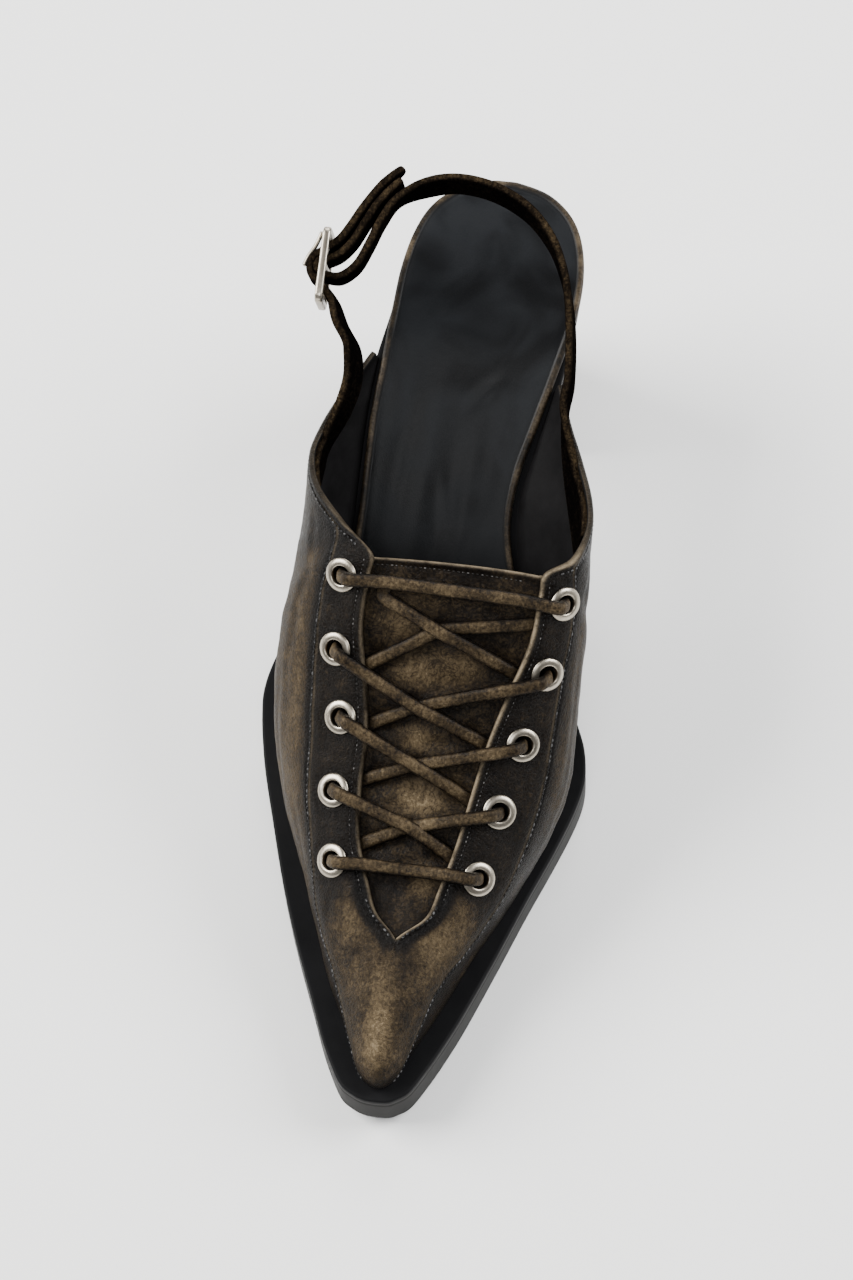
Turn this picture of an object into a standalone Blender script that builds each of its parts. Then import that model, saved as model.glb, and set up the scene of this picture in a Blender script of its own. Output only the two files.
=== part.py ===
"""Right foot's lace up slingback heel, built piece by piece from the sizes of its last.

Metres, +Z up. The toe points to -Y, the heel to +Y, and the outer (lateral) side to -X.
Tables below are in millimetres: x is across the foot, a is the distance back from the toe tip,
z is the height over the floor. place() turns them into the shoe's own frame, whose origin is
on the floor under the middle of the shoe.
"""

import math

import bmesh
import bpy
import numpy as np
from mathutils import Matrix, Vector

MM = 0.001

# Driving sizes, in millimetres
SHOE_LENGTH = 262.0
SIDE_SHIFT = 4.2
SOLE_DROP = 2.5
GAP = 0.3
WALL = 1.6
PANEL_STEP = 0.8
TONGUE_GAP = 0.6
SLOT_CROWN = 0.3
TONGUE_THICK = 2.0
HEEL_TAPER = 0.72
HEEL_INSET = 0.985
LIFT_THICK = 6.0
EYELET_BORE = 2.6
EYELET_BARREL = 3.1
EYELET_FLANGE = 5.0
EYELET_SIDES = 12
LACE_WIDTH = 3.8
LACE_THICK = 2.8
STRAP_THICK = 1.5
FRAME_LENGTH = 22.0
FRAME_HEIGHT = 13.4
FRAME_BAR = 2.2

# Height of the insole's top along the foot: toe spring, tread, arch and heel seat
BED_COLUMNS = ("a", "z")
BED = (
    (-1.0, 19.0),
    (5.0, 18.5),
    (25.0, 16.0),
    (50.0, 14.5),
    (75.0, 14.2),
    (90.0, 14.8),
    (105.0, 16.8),
    (120.0, 22.0),
    (140.0, 32.5),
    (160.0, 44.5),
    (180.0, 57.0),
    (200.0, 68.0),
    (215.0, 74.5),
    (235.0, 78.0),
    (264.0, 81.0),
)

# Underside of the outsole: flat on the floor from 32 to 98 mm back from the toe
UNDERSIDE_COLUMNS = ("a", "z")
UNDERSIDE = (
    (-1.0, 4.2),
    (8.0, 2.6),
    (18.0, 1.0),
    (32.0, 0.0),
    (65.0, 0.0),
    (98.0, 0.0),
    (106.0, 1.6),
    (120.0, 9.0),
    (140.0, 22.6),
    (160.0, 36.6),
    (180.0, 49.8),
    (200.0, 61.2),
    (215.0, 67.4),
    (235.0, 71.2),
    (264.0, 74.2),
)

# Outline of the outsole seen from above, with its rim round the forefoot
SOLE_COLUMNS = ("a", "lateral_x", "medial_x")
SOLE_OUTLINE = (
    (-0.6, -1.2, -1.0),
    (-0.3, -4.2, 2.4),
    (0.9, -7.4, 4.8),
    (3.6, -11.2, 8.0),
    (9.5, -14.8, 11.1),
    (17.5, -18.7, 14.6),
    (28.7, -23.3, 19.0),
    (47.5, -31.2, 25.6),
    (66.0, -38.0, 31.8),
    (83.0, -43.4, 37.9),
    (96.0, -47.4, 42.0),
    (105.0, -49.6, 43.6),
    (113.0, -51.0, 42.6),
    (120.0, -51.3, 39.6),
    (128.0, -49.2, 35.4),
    (138.0, -44.2, 30.0),
    (150.0, -37.6, 23.6),
    (162.0, -33.6, 19.2),
    (175.0, -32.2, 18.2),
    (189.0, -31.4, 21.6),
    (203.0, -29.6, 24.4),
    (216.0, -27.0, 26.0),
    (231.0, -24.8, 26.6),
    (244.0, -21.8, 24.2),
    (253.0, -16.6, 18.4),
    (258.6, -9.8, 11.8),
    (260.8, -1.0, 2.0),
)

# Rows of the outline under which the heel stands, from its breast to its back
HEEL_STATIONS = (20.3, 21.0, 22.0, 23.0, 23.6, 24.3, 25.0, 25.5, 26.0)

# Bound edge of the insole behind the collar, seen from above
INSOLE_COLUMNS = ("a", "lateral_x", "medial_x")
INSOLE_OUTLINE = (
    (6.6, -1.2, -0.4),
    (8.0, -3.0, 1.9),
    (12.0, -5.6, 3.9),
    (19.0, -9.2, 6.5),
    (30.0, -14.4, 10.8),
    (44.0, -20.0, 15.8),
    (60.0, -26.0, 22.8),
    (76.0, -32.0, 28.8),
    (90.0, -36.6, 33.2),
    (103.0, -39.0, 35.2),
    (115.0, -39.3, 33.2),
    (127.0, -37.8, 29.4),
    (141.0, -33.4, 23.0),
    (154.0, -30.2, 17.4),
    (166.0, -29.3, 14.6),
    (178.0, -29.1, 15.6),
    (190.0, -28.7, 19.0),
    (203.0, -27.4, 22.8),
    (217.0, -26.3, 26.2),
    (231.0, -25.4, 27.3),
    (243.0, -23.1, 25.6),
    (252.0, -19.0, 21.4),
    (258.4, -11.9, 14.2),
    (261.3, -3.6, 5.4),
    (261.6, 1.0, 1.0),
)

# Station of the throat's corner, where the slot ends and the collar begins
THROAT_STATION = 13

# Ribs of the upper, from its foot on the sole to its top: the centre line of the toe, then the
# edge of the slot, the throat's corner and the collar. Each rib is a cubic: rise and belly place
# its lower handle over and outside the foot, reach and dip its upper one outside and under the top.
# heading is how far the rib turns towards the toe, in degrees.
RIB_COLUMNS = (
    "foot_x", "foot_a", "top_x", "top_a", "top_z", "heading", "belly", "rise", "reach", "dip",
)
TOE_RIBS = (
    (-0.4, 3.4, -0.4, 15.0, 28.5, 90.0, 0.4, 7.0, 6.5, 2.6),
    (-5.3, 6.2, -0.5, 20.0, 30.0, 62.0, 0.3, 8.0, 7.5, 1.9),
    (-9.3, 13.5, -0.5, 26.0, 31.5, 42.0, 0.3, 9.0, 8.2, 1.5),
    (-14.0, 23.5, -0.5, 33.0, 33.0, 22.0, 0.3, 10.5, 9.0, 0.9),
    (-19.0, 33.5, -0.4, 40.0, 34.4, 8.0, 0.5, 12.0, 11.0, 0.5),
)
TOE_RIBS_MEDIAL_FOOT = ((-0.4, 3.4), (3.6, 6.8), (7.0, 14.2), (11.2, 23.8), (15.4, 34.0))
LATERAL_RIBS = (
    (-23.4, 45.0, -6.9, 47.0, 36.0, 0.0, 1.0, 15.0, 11.5, 1.6),
    (-27.2, 55.0, -10.3, 55.0, 38.2, 0.0, 1.5, 17.0, 12.0, 2.0),
    (-31.0, 66.0, -14.2, 66.0, 42.0, 0.0, 3.0, 19.0, 12.5, 2.6),
    (-35.8, 79.0, -15.4, 79.0, 47.8, 0.0, 6.0, 21.0, 15.5, 3.6),
    (-39.4, 91.0, -15.2, 91.0, 54.8, 0.0, 7.5, 24.0, 19.0, 4.5),
    (-41.6, 103.0, -16.9, 103.0, 62.6, 0.0, 9.5, 27.0, 20.0, 5.5),
    (-41.8, 115.0, -19.4, 115.0, 72.4, 0.0, 11.5, 30.0, 18.5, 6.0),
    (-39.9, 126.0, -18.7, 126.0, 81.6, 0.0, 14.5, 33.0, 18.5, 6.0),
    (-38.4, 132.0, -18.6, 131.5, 85.5, 0.0, 15.0, 34.0, 18.0, 5.5),
    (-35.6, 141.5, -28.0, 141.0, 83.8, 0.0, 14.5, 28.0, 13.0, 8.5),
    (-32.8, 153.0, -37.6, 152.5, 81.8, 0.0, 12.5, 17.0, 6.0, 13.0),
    (-31.9, 165.0, -41.2, 164.0, 79.4, 0.0, 9.5, 11.0, 2.5, 11.0),
    (-31.6, 177.0, -40.3, 176.0, 75.4, 0.0, 7.5, 8.0, 1.5, 8.0),
    (-31.1, 190.0, -37.0, 189.5, 71.4, 0.0, 4.0, 3.5, 1.0, 3.5),
    (-29.8, 205.0, -30.4, 205.0, 71.2, 0.0, 0.3, 0.8, 0.1, 0.8),
)
MEDIAL_RIBS = (
    (19.4, 45.0, 7.0, 47.0, 36.0, 0.0, 1.5, 15.0, 10.0, 1.5),
    (24.0, 55.0, 9.6, 55.0, 38.2, 0.0, 2.5, 17.5, 12.0, 1.8),
    (28.6, 66.0, 12.6, 66.0, 42.0, 0.0, 5.0, 20.0, 13.5, 2.4),
    (33.0, 79.0, 15.2, 79.0, 47.8, 0.0, 8.0, 23.0, 16.0, 3.2),
    (36.6, 91.0, 18.0, 91.0, 54.8, 0.0, 8.5, 26.0, 18.0, 4.2),
    (38.0, 103.0, 22.1, 103.0, 62.8, 0.0, 7.0, 29.0, 17.0, 5.0),
    (36.0, 115.0, 27.1, 115.0, 72.4, 0.0, 9.5, 32.0, 13.5, 5.5),
    (31.8, 126.0, 28.7, 126.0, 81.4, 0.0, 15.5, 34.0, 13.0, 6.0),
    (29.6, 131.5, 29.6, 130.8, 85.0, 0.0, 17.0, 33.0, 12.0, 6.5),
    (27.0, 138.0, 36.6, 136.8, 84.2, 0.0, 16.5, 26.0, 6.5, 9.0),
    (22.4, 148.0, 40.0, 147.2, 82.8, 0.0, 15.0, 15.0, 1.6, 16.0),
    (18.6, 160.0, 38.9, 158.5, 80.4, 0.0, 11.5, 9.0, 1.0, 15.0),
    (17.6, 173.0, 34.4, 173.0, 76.4, 0.0, 8.0, 5.0, 0.6, 11.0),
    (20.8, 187.0, 29.4, 187.0, 72.4, 0.0, 4.0, 3.0, 0.4, 5.0),
    (24.6, 201.0, 25.2, 201.0, 70.2, 0.0, 0.3, 0.8, 0.1, 0.8),
)

# Share of each rib at which the long seam between a side quarter and the centre panel crosses it,
# a row for each rib from the toe to the collar, where it reaches the top
SEAM_COLUMNS = ("lateral", "medial")
SEAM_SHARES = (
    (0.00, 0.00),
    (0.08, 0.07),
    (0.20, 0.22),
    (0.25, 0.34),
    (0.29, 0.34),
    (0.32, 0.31),
    (0.40, 0.32),
    (0.52, 0.41),
    (0.61, 0.51),
    (0.67, 0.59),
    (0.71, 0.65),
    (0.74, 0.69),
    (0.75, 0.70),
    (0.77, 0.72),
    (0.93, 0.94),
    (1.00, 1.00),
    (1.00, 1.00),
    (1.00, 1.00),
    (1.00, 1.00),
    (1.00, 1.00),
)

# Eyelets from the throat to the toe, seen from above
EYELET_COLUMNS = ("lateral_x", "lateral_a", "medial_x", "medial_a")
EYELETS = (
    (-26.0, 127.0, 35.0, 126.6),
    (-26.0, 111.0, 32.2, 110.8),
    (-22.8, 95.6, 27.6, 94.2),
    (-22.6, 78.0, 23.2, 77.4),
    (-20.6, 60.4, 19.6, 60.0),
)

# Lace crossings between the rows: where each arm ends beside the far edge of the slot, and
# how high it lies on the tongue at the crossing. The first pair lies wholly inside the slot.
CROSSING_COLUMNS = ("from_x", "from_a", "mid_x", "mid_a", "mid_lift", "to_x", "to_a", "starts_inside")
CROSSINGS = (
    ("lace_crossing_1", (
        (-14.0, 121.6, 2.6, 115.6, 2.3, 20.0, 109.6, True),
        (22.0, 118.4, 2.6, 115.6, 0.9, -14.2, 108.2, True),
    )),
    ("lace_crossing_2", (
        (-26.0, 110.9, -1.8, 98.6, 2.3, 13.6, 93.2, False),
        (32.4, 110.3, -1.8, 98.6, 0.9, -10.8, 95.2, False),
    )),
    ("lace_crossing_3", (
        (-22.8, 95.7, -0.8, 85.0, 2.3, 10.6, 80.2, False),
        (27.6, 94.0, -0.8, 85.0, 0.9, -11.4, 81.6, False),
    )),
    ("lace_crossing_4", (
        (-22.8, 78.4, -0.6, 69.8, 2.3, 8.4, 65.4, False),
        (23.2, 77.1, -0.6, 69.8, 0.9, -9.8, 66.0, False),
    )),
)

# Straps start sewn inside the collar: a station along the upper's wall, and the shares of the rib
# there at the strap's lower and upper edges
SEAT_COLUMNS = ("station", "low", "high")
SLING_SEAT = ((15.1, 0.56, 0.93), (15.8, 0.58, 0.94), (16.4, 0.60, 0.95), (16.9, 0.64, 0.98))
FRONT_SEAT = ((15.1, 0.56, 0.93), (15.8, 0.56, 0.94), (16.3, 0.58, 0.95), (16.8, 0.62, 0.98))

# Free runs of the straps, edge up, between the collar and the buckle
RUN_COLUMNS = ("x", "a", "z", "width")
SLING_RUN = (
    (28.0, 184.5, 80.8, 8.6),
    (28.2, 193.5, 85.0, 8.4),
    (27.4, 203.0, 89.5, 8.2),
    (25.8, 212.2, 93.5, 8.2),
    (23.0, 221.0, 97.0, 8.2),
    (18.4, 229.2, 100.0, 8.2),
    (11.0, 236.4, 102.4, 8.2),
    (1.0, 241.0, 104.0, 8.2),
    (-9.5, 242.4, 104.4, 8.2),
    (-18.6, 240.4, 103.6, 8.2),
)
FRONT_RUN = (
    (-34.6, 181.5, 77.0, 8.8),
    (-32.8, 189.0, 81.5, 8.4),
    (-34.0, 196.0, 86.0, 8.2),
)

# The straps at the buckle, in its own directions from its centre bar: along the strap towards
# the heel, and outward from the foot
BUCKLE_CENTRE = (-44.2, 215.8, 94.8)
BUCKLE_PITCH = 19.0
TURN_COLUMNS = ("along", "outward")
SLING_TURN = (
    (21.6, -18.1), (15.0, -14.4), (7.9, -11.9), (1.5, -9.2), (-2.2, -5.4), (-2.7, -2.2),
    (-2.0, 0.1), (-1.2, 1.6), (0.4, 2.0), (1.7, 1.0), (2.3, -1.2), (4.2, -4.2),
    (8.0, -7.2), (13.4, -9.8), (19.2, -12.6), (24.0, -16.0), (26.8, -18.6),
)
FRONT_TURN = (
    (-15.0, -6.2), (-9.6, -3.8), (-5.2, -0.2), (-2.8, 3.0), (0.0, 3.9), (2.7, 3.0),
    (4.8, 0.4), (8.0, -3.3), (12.0, -5.8), (18.6, -9.2), (25.2, -13.4), (31.0, -18.4),
)


def column(table, columns, name):
    """Values of one named column of a table."""
    return np.array([row[columns.index(name)] for row in table], dtype=float)


def place(points):
    """Shoe coordinates in metres from (x, a, z) in millimetres."""
    points = np.asarray(points, dtype=float)
    shift = np.array([SIDE_SHIFT, -SHOE_LENGTH / 2.0, 0.0])
    return (points + shift) * MM


def unit(vectors):
    """Vectors scaled to length one along the last axis."""
    return vectors / np.linalg.norm(vectors, axis=-1, keepdims=True)


def smooth(table, stations):
    """Rows of a table read at fractional row numbers, on a Catmull-Rom curve."""
    rows = np.asarray(table, dtype=float)
    last = len(rows) - 1
    stations = np.clip(np.asarray(stations, dtype=float), 0.0, last)
    start = np.minimum(stations.astype(int), last - 1)
    share = (stations - start)[:, None]
    before = rows[np.maximum(start - 1, 0)]
    first = rows[start]
    second = rows[start + 1]
    after = rows[np.minimum(start + 2, last)]
    return 0.5 * (
        2.0 * first
        + (second - before) * share
        + (2.0 * before - 5.0 * first + 4.0 * second - after) * share**2
        + (3.0 * first - before - 3.0 * second + after) * share**3
    )


def bed_height(a):
    """Height of the insole's top at a distance a back from the toe."""
    return height_along(BED, BED_COLUMNS, a)


def height_along(table, columns, a):
    """Smooth height read from an (a, z) table, flat stretches kept flat."""
    along = column(table, columns, "a")
    height = column(table, columns, "z")
    a = np.clip(np.asarray(a, dtype=float), along[0], along[-1])
    steps = np.diff(height) / np.diff(along)
    slopes = np.zeros(len(along))
    slopes[0] = steps[0]
    slopes[-1] = steps[-1]
    rising = steps[:-1] * steps[1:] > 0.0
    inner = np.where(rising, 2.0 * steps[:-1] * steps[1:] / (steps[:-1] + steps[1:] + 1e-12), 0.0)
    slopes[1:-1] = inner
    start = np.clip(np.searchsorted(along, a, side="right") - 1, 0, len(along) - 2)
    span = along[start + 1] - along[start]
    t = (a - along[start]) / span
    return (
        (1.0 + 2.0 * t) * (1.0 - t) ** 2 * height[start]
        + t * (1.0 - t) ** 2 * span * slopes[start]
        + t**2 * (3.0 - 2.0 * t) * height[start + 1]
        + t**2 * (t - 1.0) * span * slopes[start + 1]
    )


def sole_top(a):
    """Height of the outsole's top at a distance a back from the toe."""
    return bed_height(a) - SOLE_DROP


def underside(a):
    """Height of the outsole's underside at a distance a back from the toe."""
    return height_along(UNDERSIDE, UNDERSIDE_COLUMNS, a)


def rib_table(medial):
    """All ribs of one side of the upper, toe first."""
    rows = []
    for toe_row, medial_foot in zip(TOE_RIBS, TOE_RIBS_MEDIAL_FOOT):
        row = list(toe_row)
        if medial:
            row[0:2] = medial_foot
        rows.append(row)
    rows.extend(list(row) for row in (MEDIAL_RIBS if medial else LATERAL_RIBS))
    return rows


def rib_points(medial, stations, shares):
    """Points of the upper's outer face, (x, a, z), for each station and each share up its rib."""
    rows = smooth(rib_table(medial), stations)
    foot_x, foot_a, top_x, top_a, top_z, heading, belly, rise, reach, dip = rows.T
    side = 1.0 if medial else -1.0
    turn = np.radians(heading)
    outward = np.stack([side * np.cos(turn), -np.sin(turn), 0.0 * turn], axis=1)
    up = np.array([0.0, 0.0, 1.0])
    foot = np.stack([foot_x, foot_a, sole_top(foot_a) + GAP], axis=1)
    top = np.stack([top_x, top_a, top_z], axis=1)
    low = foot + outward * belly[:, None] + up * rise[:, None]
    high = top + outward * reach[:, None] - up * dip[:, None]
    s = np.asarray(shares, dtype=float)
    if s.ndim == 1:
        s = np.broadcast_to(s, (len(rows), len(s)))
    s = s[:, :, None]
    return (
        foot[:, None] * (1.0 - s) ** 3
        + low[:, None] * 3.0 * s * (1.0 - s) ** 2
        + high[:, None] * 3.0 * s**2 * (1.0 - s)
        + top[:, None] * s**3
    )


def rib_normals(medial, stations, shares):
    """Outward normals of the upper's outer face at the same stations and shares."""
    stations = np.asarray(stations, dtype=float)
    shares = np.asarray(shares, dtype=float)
    if shares.ndim == 1:
        shares = np.broadcast_to(shares, (len(stations), len(shares)))
    ends = (0.02, len(TOE_RIBS) + len(LATERAL_RIBS) - 1.02)
    here = np.clip(stations, *ends)
    inside = np.clip(shares, 0.01, 0.99)
    along = rib_points(medial, here + 0.02, inside) - rib_points(medial, here - 0.02, inside)
    across = rib_points(medial, here, inside + 0.01) - rib_points(medial, here, inside - 0.01)
    side = 1.0 if medial else -1.0
    normals = unit(np.cross(along, across)) * side
    foot = inside[..., None] < 0.011
    return unit(np.where(foot, normals * np.array([1.0, 1.0, 0.0]), normals))


def seam_shares(medial, stations):
    """Share up each rib at which the long seam crosses it."""
    shares = column(SEAM_SHARES, SEAM_COLUMNS, "medial" if medial else "lateral")
    return np.clip(smooth(shares[:, None], stations)[:, 0], 0.0, 1.0)


def station_at(a):
    """Station of the upper whose slot edge lies at a distance a back from the toe."""
    top_a = column(rib_table(False), RIB_COLUMNS, "top_a")[:THROAT_STATION + 1]
    return float(np.interp(a, top_a, np.arange(float(len(top_a)))))


def over_slot(station, shares):
    """Points of the crown that carries the upper's face across the slot, at shares from lateral."""
    left = rib_points(False, [station], [1.0])[0, 0]
    right = rib_points(True, [station], [1.0])[0, 0]
    left_in = rib_points(False, [station], [0.9])[0, 0]
    right_in = rib_points(True, [station], [0.9])[0, 0]
    chord = np.linalg.norm(right - left)
    flatten = np.array([1.0, 1.0, SLOT_CROWN])
    pull = unit(left - left_in) * flatten * chord / 3.0
    push = unit(right - right_in) * flatten * chord / 3.0
    t = np.asarray(shares, dtype=float)[:, None]
    return (
        left * (1 - t) ** 3
        + (left + pull) * 3 * t * (1 - t) ** 2
        + (right + push) * 3 * t**2 * (1 - t)
        + right * t**3
    )


def face_point(x, a):
    """Height and upward normal of the upper's unraised face over a place seen from above."""

    def height(px, pa):
        station = station_at(pa)
        profile = np.concatenate([
            rib_points(False, [station], np.linspace(0.25, 1.0, 40))[0],
            over_slot(station, np.linspace(0.05, 0.95, 19)),
            rib_points(True, [station], np.linspace(1.0, 0.25, 40))[0],
        ])
        keep = np.concatenate([[True], np.diff(profile[:, 0]) > 1e-6])
        profile = profile[keep]
        return float(np.interp(px, profile[:, 0], profile[:, 2]))

    step = 0.8
    middle = height(x, a)
    slope_x = (height(x + step, a) - height(x - step, a)) / (2.0 * step)
    slope_a = (height(x, a + step) - height(x, a - step)) / (2.0 * step)
    return middle, unit(np.array([-slope_x, -slope_a, 1.0]))


def lifted(x, a, lift):
    """Place over the upper at a distance lift from its unraised face."""
    z, normal = face_point(x, a)
    return np.array([x, a, z]) + normal * lift


def new_collection(name):
    """Collection linked to the scene."""
    collection = bpy.data.collections.new(name)
    bpy.context.scene.collection.children.link(collection)
    return collection


def finish(name, colour, roughness, metallic=0.0):
    """Plain Principled material."""
    material = bpy.data.materials.new(name)
    material.use_nodes = True
    shader = material.node_tree.nodes["Principled BSDF"]
    shader.inputs["Base Color"].default_value = (*colour, 1.0)
    shader.inputs["Roughness"].default_value = roughness
    shader.inputs["Metallic"].default_value = metallic
    material.diffuse_color = (*colour, 1.0)
    return material


def body(name, vertices, faces, collection, material=None):
    """Mesh object from shoe coordinates in metres, with doubles merged and faces outward."""
    mesh = bpy.data.meshes.new(name)
    mesh.from_pydata([tuple(v) for v in vertices], [], faces)
    work = bmesh.new()
    work.from_mesh(mesh)
    bmesh.ops.remove_doubles(work, verts=work.verts, dist=1e-5)
    bmesh.ops.dissolve_degenerate(work, edges=work.edges, dist=1e-6)
    bmesh.ops.recalc_face_normals(work, faces=work.faces)
    if work.calc_volume(signed=True) < 0.0:
        bmesh.ops.reverse_faces(work, faces=work.faces)
    work.to_mesh(mesh)
    work.free()
    piece = bpy.data.objects.new(name, mesh)
    collection.objects.link(piece)
    if material:
        mesh.materials.append(material)
    return piece


def lattice_faces(rows, across, levels):
    """Index of a lattice's corners and the quads of its outer skin."""
    index = np.arange(rows * across * levels).reshape(rows, across, levels)
    sheets = (index[:, :, 0], index[:, :, -1], index[:, 0, :], index[:, -1, :], index[0], index[-1])
    faces = []
    for sheet in sheets:
        for i in range(sheet.shape[0] - 1):
            for j in range(sheet.shape[1] - 1):
                faces.append((sheet[i, j], sheet[i + 1, j], sheet[i + 1, j + 1], sheet[i, j + 1]))
    return [tuple(int(v) for v in face) for face in faces]


def lattice(name, points, collection, material):
    """Closed body from a lattice of (x, a, z) points, rows by across by levels."""
    points = np.asarray(points, dtype=float)
    faces = lattice_faces(*points.shape[:3])
    return body(name, place(points.reshape(-1, 3)), faces, collection, material)


def slab(name, outline, stations, top, bottom, levels, collection, material):
    """Body between two heights over an outline given as (a, lateral_x, medial_x) rows."""
    rows = smooth(outline, stations)
    a = rows[:, 0]
    points = np.zeros((len(rows), 3, levels, 3))
    for j, share in enumerate((0.0, 0.5, 1.0)):
        x = rows[:, 1] * (1.0 - share) + rows[:, 2] * share
        for k in range(levels):
            rise = k / (levels - 1)
            z = bottom(a) * (1.0 - rise) + top(a) * rise
            points[:, j, k] = np.stack([x, a, z], axis=1)
    return lattice(name, points, collection, material)


def make_outsole(collection, material):
    """Outsole with its rim, toe spring, tread, arch and heel seat."""
    stations = np.arange(0.0, len(SOLE_OUTLINE) - 0.99, 0.5)
    return slab("outsole", SOLE_OUTLINE, stations, sole_top, underside, 2, collection, material)


def make_insole(collection, material):
    """Insole board, from inside the toe to the heel, its bound edge outside behind the collar."""
    stations = np.arange(0.0, len(INSOLE_OUTLINE) - 0.99, 0.5)

    def under(a):
        return sole_top(a) + GAP

    return slab("insole", INSOLE_OUTLINE, stations, bed_height, under, 2, collection, material)


def heel_rows():
    """Heel's top outline under the seat, as (a, lateral_x, medial_x) rows from the breast back."""
    rows = smooth(SOLE_OUTLINE, HEEL_STATIONS)
    middle = rows[:, 1:].mean(axis=1, keepdims=True)
    rows[:, 1:] = middle + (rows[:, 1:] - middle) * HEEL_INSET
    rows[-1, 0] -= 0.6
    return rows


def heel_section(rows, scale):
    """Heel's outline drawn in towards the back of the seat, for one level."""
    back = rows[-1, 0]
    centre = rows[:, 1:].mean(axis=1).mean()
    out = rows.copy()
    out[:, 0] = back - 4.0 * (1.0 - scale) / (1.0 - HEEL_TAPER) - (back - rows[:, 0]) * scale
    out[:, 1:] = centre + (rows[:, 1:] - centre) * scale
    return out


def make_heel(collection, material):
    """Block heel, drawn in towards the floor, its top fitted to the underside of the seat."""
    rows = heel_rows()
    levels = 6
    points = np.zeros((len(rows), 3, levels, 3))
    bottom = LIFT_THICK + GAP
    for k in range(levels):
        rise = k / (levels - 1)
        section = heel_section(rows, HEEL_TAPER + (1.0 - HEEL_TAPER) * rise**1.7)
        z = bottom * (1.0 - rise) + (underside(rows[:, 0]) - GAP) * rise
        for j, share in enumerate((0.0, 0.5, 1.0)):
            x = section[:, 1] * (1.0 - share) + section[:, 2] * share
            points[:, j, k] = np.stack([x, section[:, 0], z], axis=1)
    return lattice("heel", points, collection, material)


def make_top_lift(collection, material):
    """Flat wearing piece under the heel."""
    section = heel_section(heel_rows(), HEEL_TAPER)
    points = np.zeros((len(section), 3, 2, 3))
    for k, z in enumerate((0.0, LIFT_THICK)):
        for j, share in enumerate((0.0, 0.5, 1.0)):
            x = section[:, 1] * (1.0 - share) + section[:, 2] * share
            points[:, j, k] = np.stack([x, section[:, 0], np.full(len(x), z)], axis=1)
    return lattice("top_lift", points, collection, material)


def square_to(tangents):
    """Upward normals, in the shoe's lengthwise plane, of a line with the given tangents."""
    flat = np.zeros(tangents.shape)
    flat[:, 1] = -tangents[:, 2]
    flat[:, 2] = tangents[:, 1]
    return unit(flat)


def upper_side(medial, stations):
    """Outer and inner points of one side of the upper, rows by columns, centre panel raised."""
    seam = seam_shares(medial, stations)
    line = np.clip(seam, 0.05, 0.92)
    below = np.linspace(0.0, 1.0, 6)
    above = np.linspace(0.0, 1.0, 6)
    step = 0.03
    shares = np.concatenate(
        [line[:, None] * below, line[:, None] + step + (1.0 - line[:, None] - step) * above], axis=1
    )
    face = rib_points(medial, stations, shares)
    normals = rib_normals(medial, stations, shares)
    centre = stations <= len(TOE_RIBS) - 1
    face[0, :, 0] = TOE_RIBS[0][0]
    face[centre, -1, 0] = TOE_RIBS[0][0]
    normals[0] = square_to(np.gradient(face[0], axis=0))
    normals[centre, -1] = square_to(np.gradient(face[:, -1], axis=0))[centre]
    fade = np.clip((1.0 - seam) / 0.08, 0.0, 1.0)
    raised = np.zeros(shares.shape)
    raised[:, len(below):] = PANEL_STEP * fade[:, None]
    outer = face + normals * raised[..., None]
    inner = face - normals * WALL
    inner[:, 0, 2] = outer[:, 0, 2]
    return outer, inner


def make_upper(collection, cutters, material):
    """Hollow upper: vamp, quarters and raised centre panel, open at the slot, collar and sole."""
    count = len(TOE_RIBS) + len(LATERAL_RIBS)
    stations = np.arange(0.0, count - 0.99, 0.5)
    vertices = []
    faces = []
    for medial in (False, True):
        outer, inner = upper_side(medial, stations)
        rows, columns = outer.shape[:2]
        base = len(vertices)
        vertices.extend(outer.reshape(-1, 3))
        vertices.extend(inner.reshape(-1, 3))
        out = base + np.arange(rows * columns).reshape(rows, columns)
        into = out + rows * columns
        for i in range(rows - 1):
            for j in range(columns - 1):
                faces.append((out[i, j], out[i + 1, j], out[i + 1, j + 1], out[i, j + 1]))
                faces.append((into[i, j], into[i, j + 1], into[i + 1, j + 1], into[i + 1, j]))
            faces.append((out[i, 0], into[i, 0], into[i + 1, 0], out[i + 1, 0]))
            if stations[i] >= len(TOE_RIBS) - 1:
                faces.append((out[i, -1], out[i + 1, -1], into[i + 1, -1], into[i, -1]))
        for j in range(columns - 1):
            faces.append((out[-1, j], out[-1, j + 1], into[-1, j + 1], into[-1, j]))
    faces = [tuple(int(v) for v in face) for face in faces]
    upper = body("upper", place(vertices), faces, collection, material)

    holes = bmesh.new()
    for row in EYELETS:
        for x, a in (row[0:2], row[2:4]):
            z, normal = face_point(x, a)
            turn = Vector(normal).to_track_quat("Z", "Y").to_matrix().to_4x4()
            spot = Matrix.Translation(Vector(place([x, a, z])))
            bmesh.ops.create_cone(
                holes, cap_ends=True, segments=EYELET_SIDES, radius1=(EYELET_BARREL + GAP) * MM,
                radius2=(EYELET_BARREL + GAP) * MM, depth=12.0 * MM, matrix=spot @ turn,
            )
    mesh = bpy.data.meshes.new("eyelet_holes")
    holes.to_mesh(mesh)
    holes.free()
    cutter = bpy.data.objects.new("eyelet_holes", mesh)
    cutters.objects.link(cutter)
    cutter.hide_render = True
    cutter.display_type = "WIRE"
    cut = upper.modifiers.new("eyelet holes", "BOOLEAN")
    cut.operation = "DIFFERENCE"
    cut.solver = "EXACT"
    cut.object = cutter
    return upper


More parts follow.
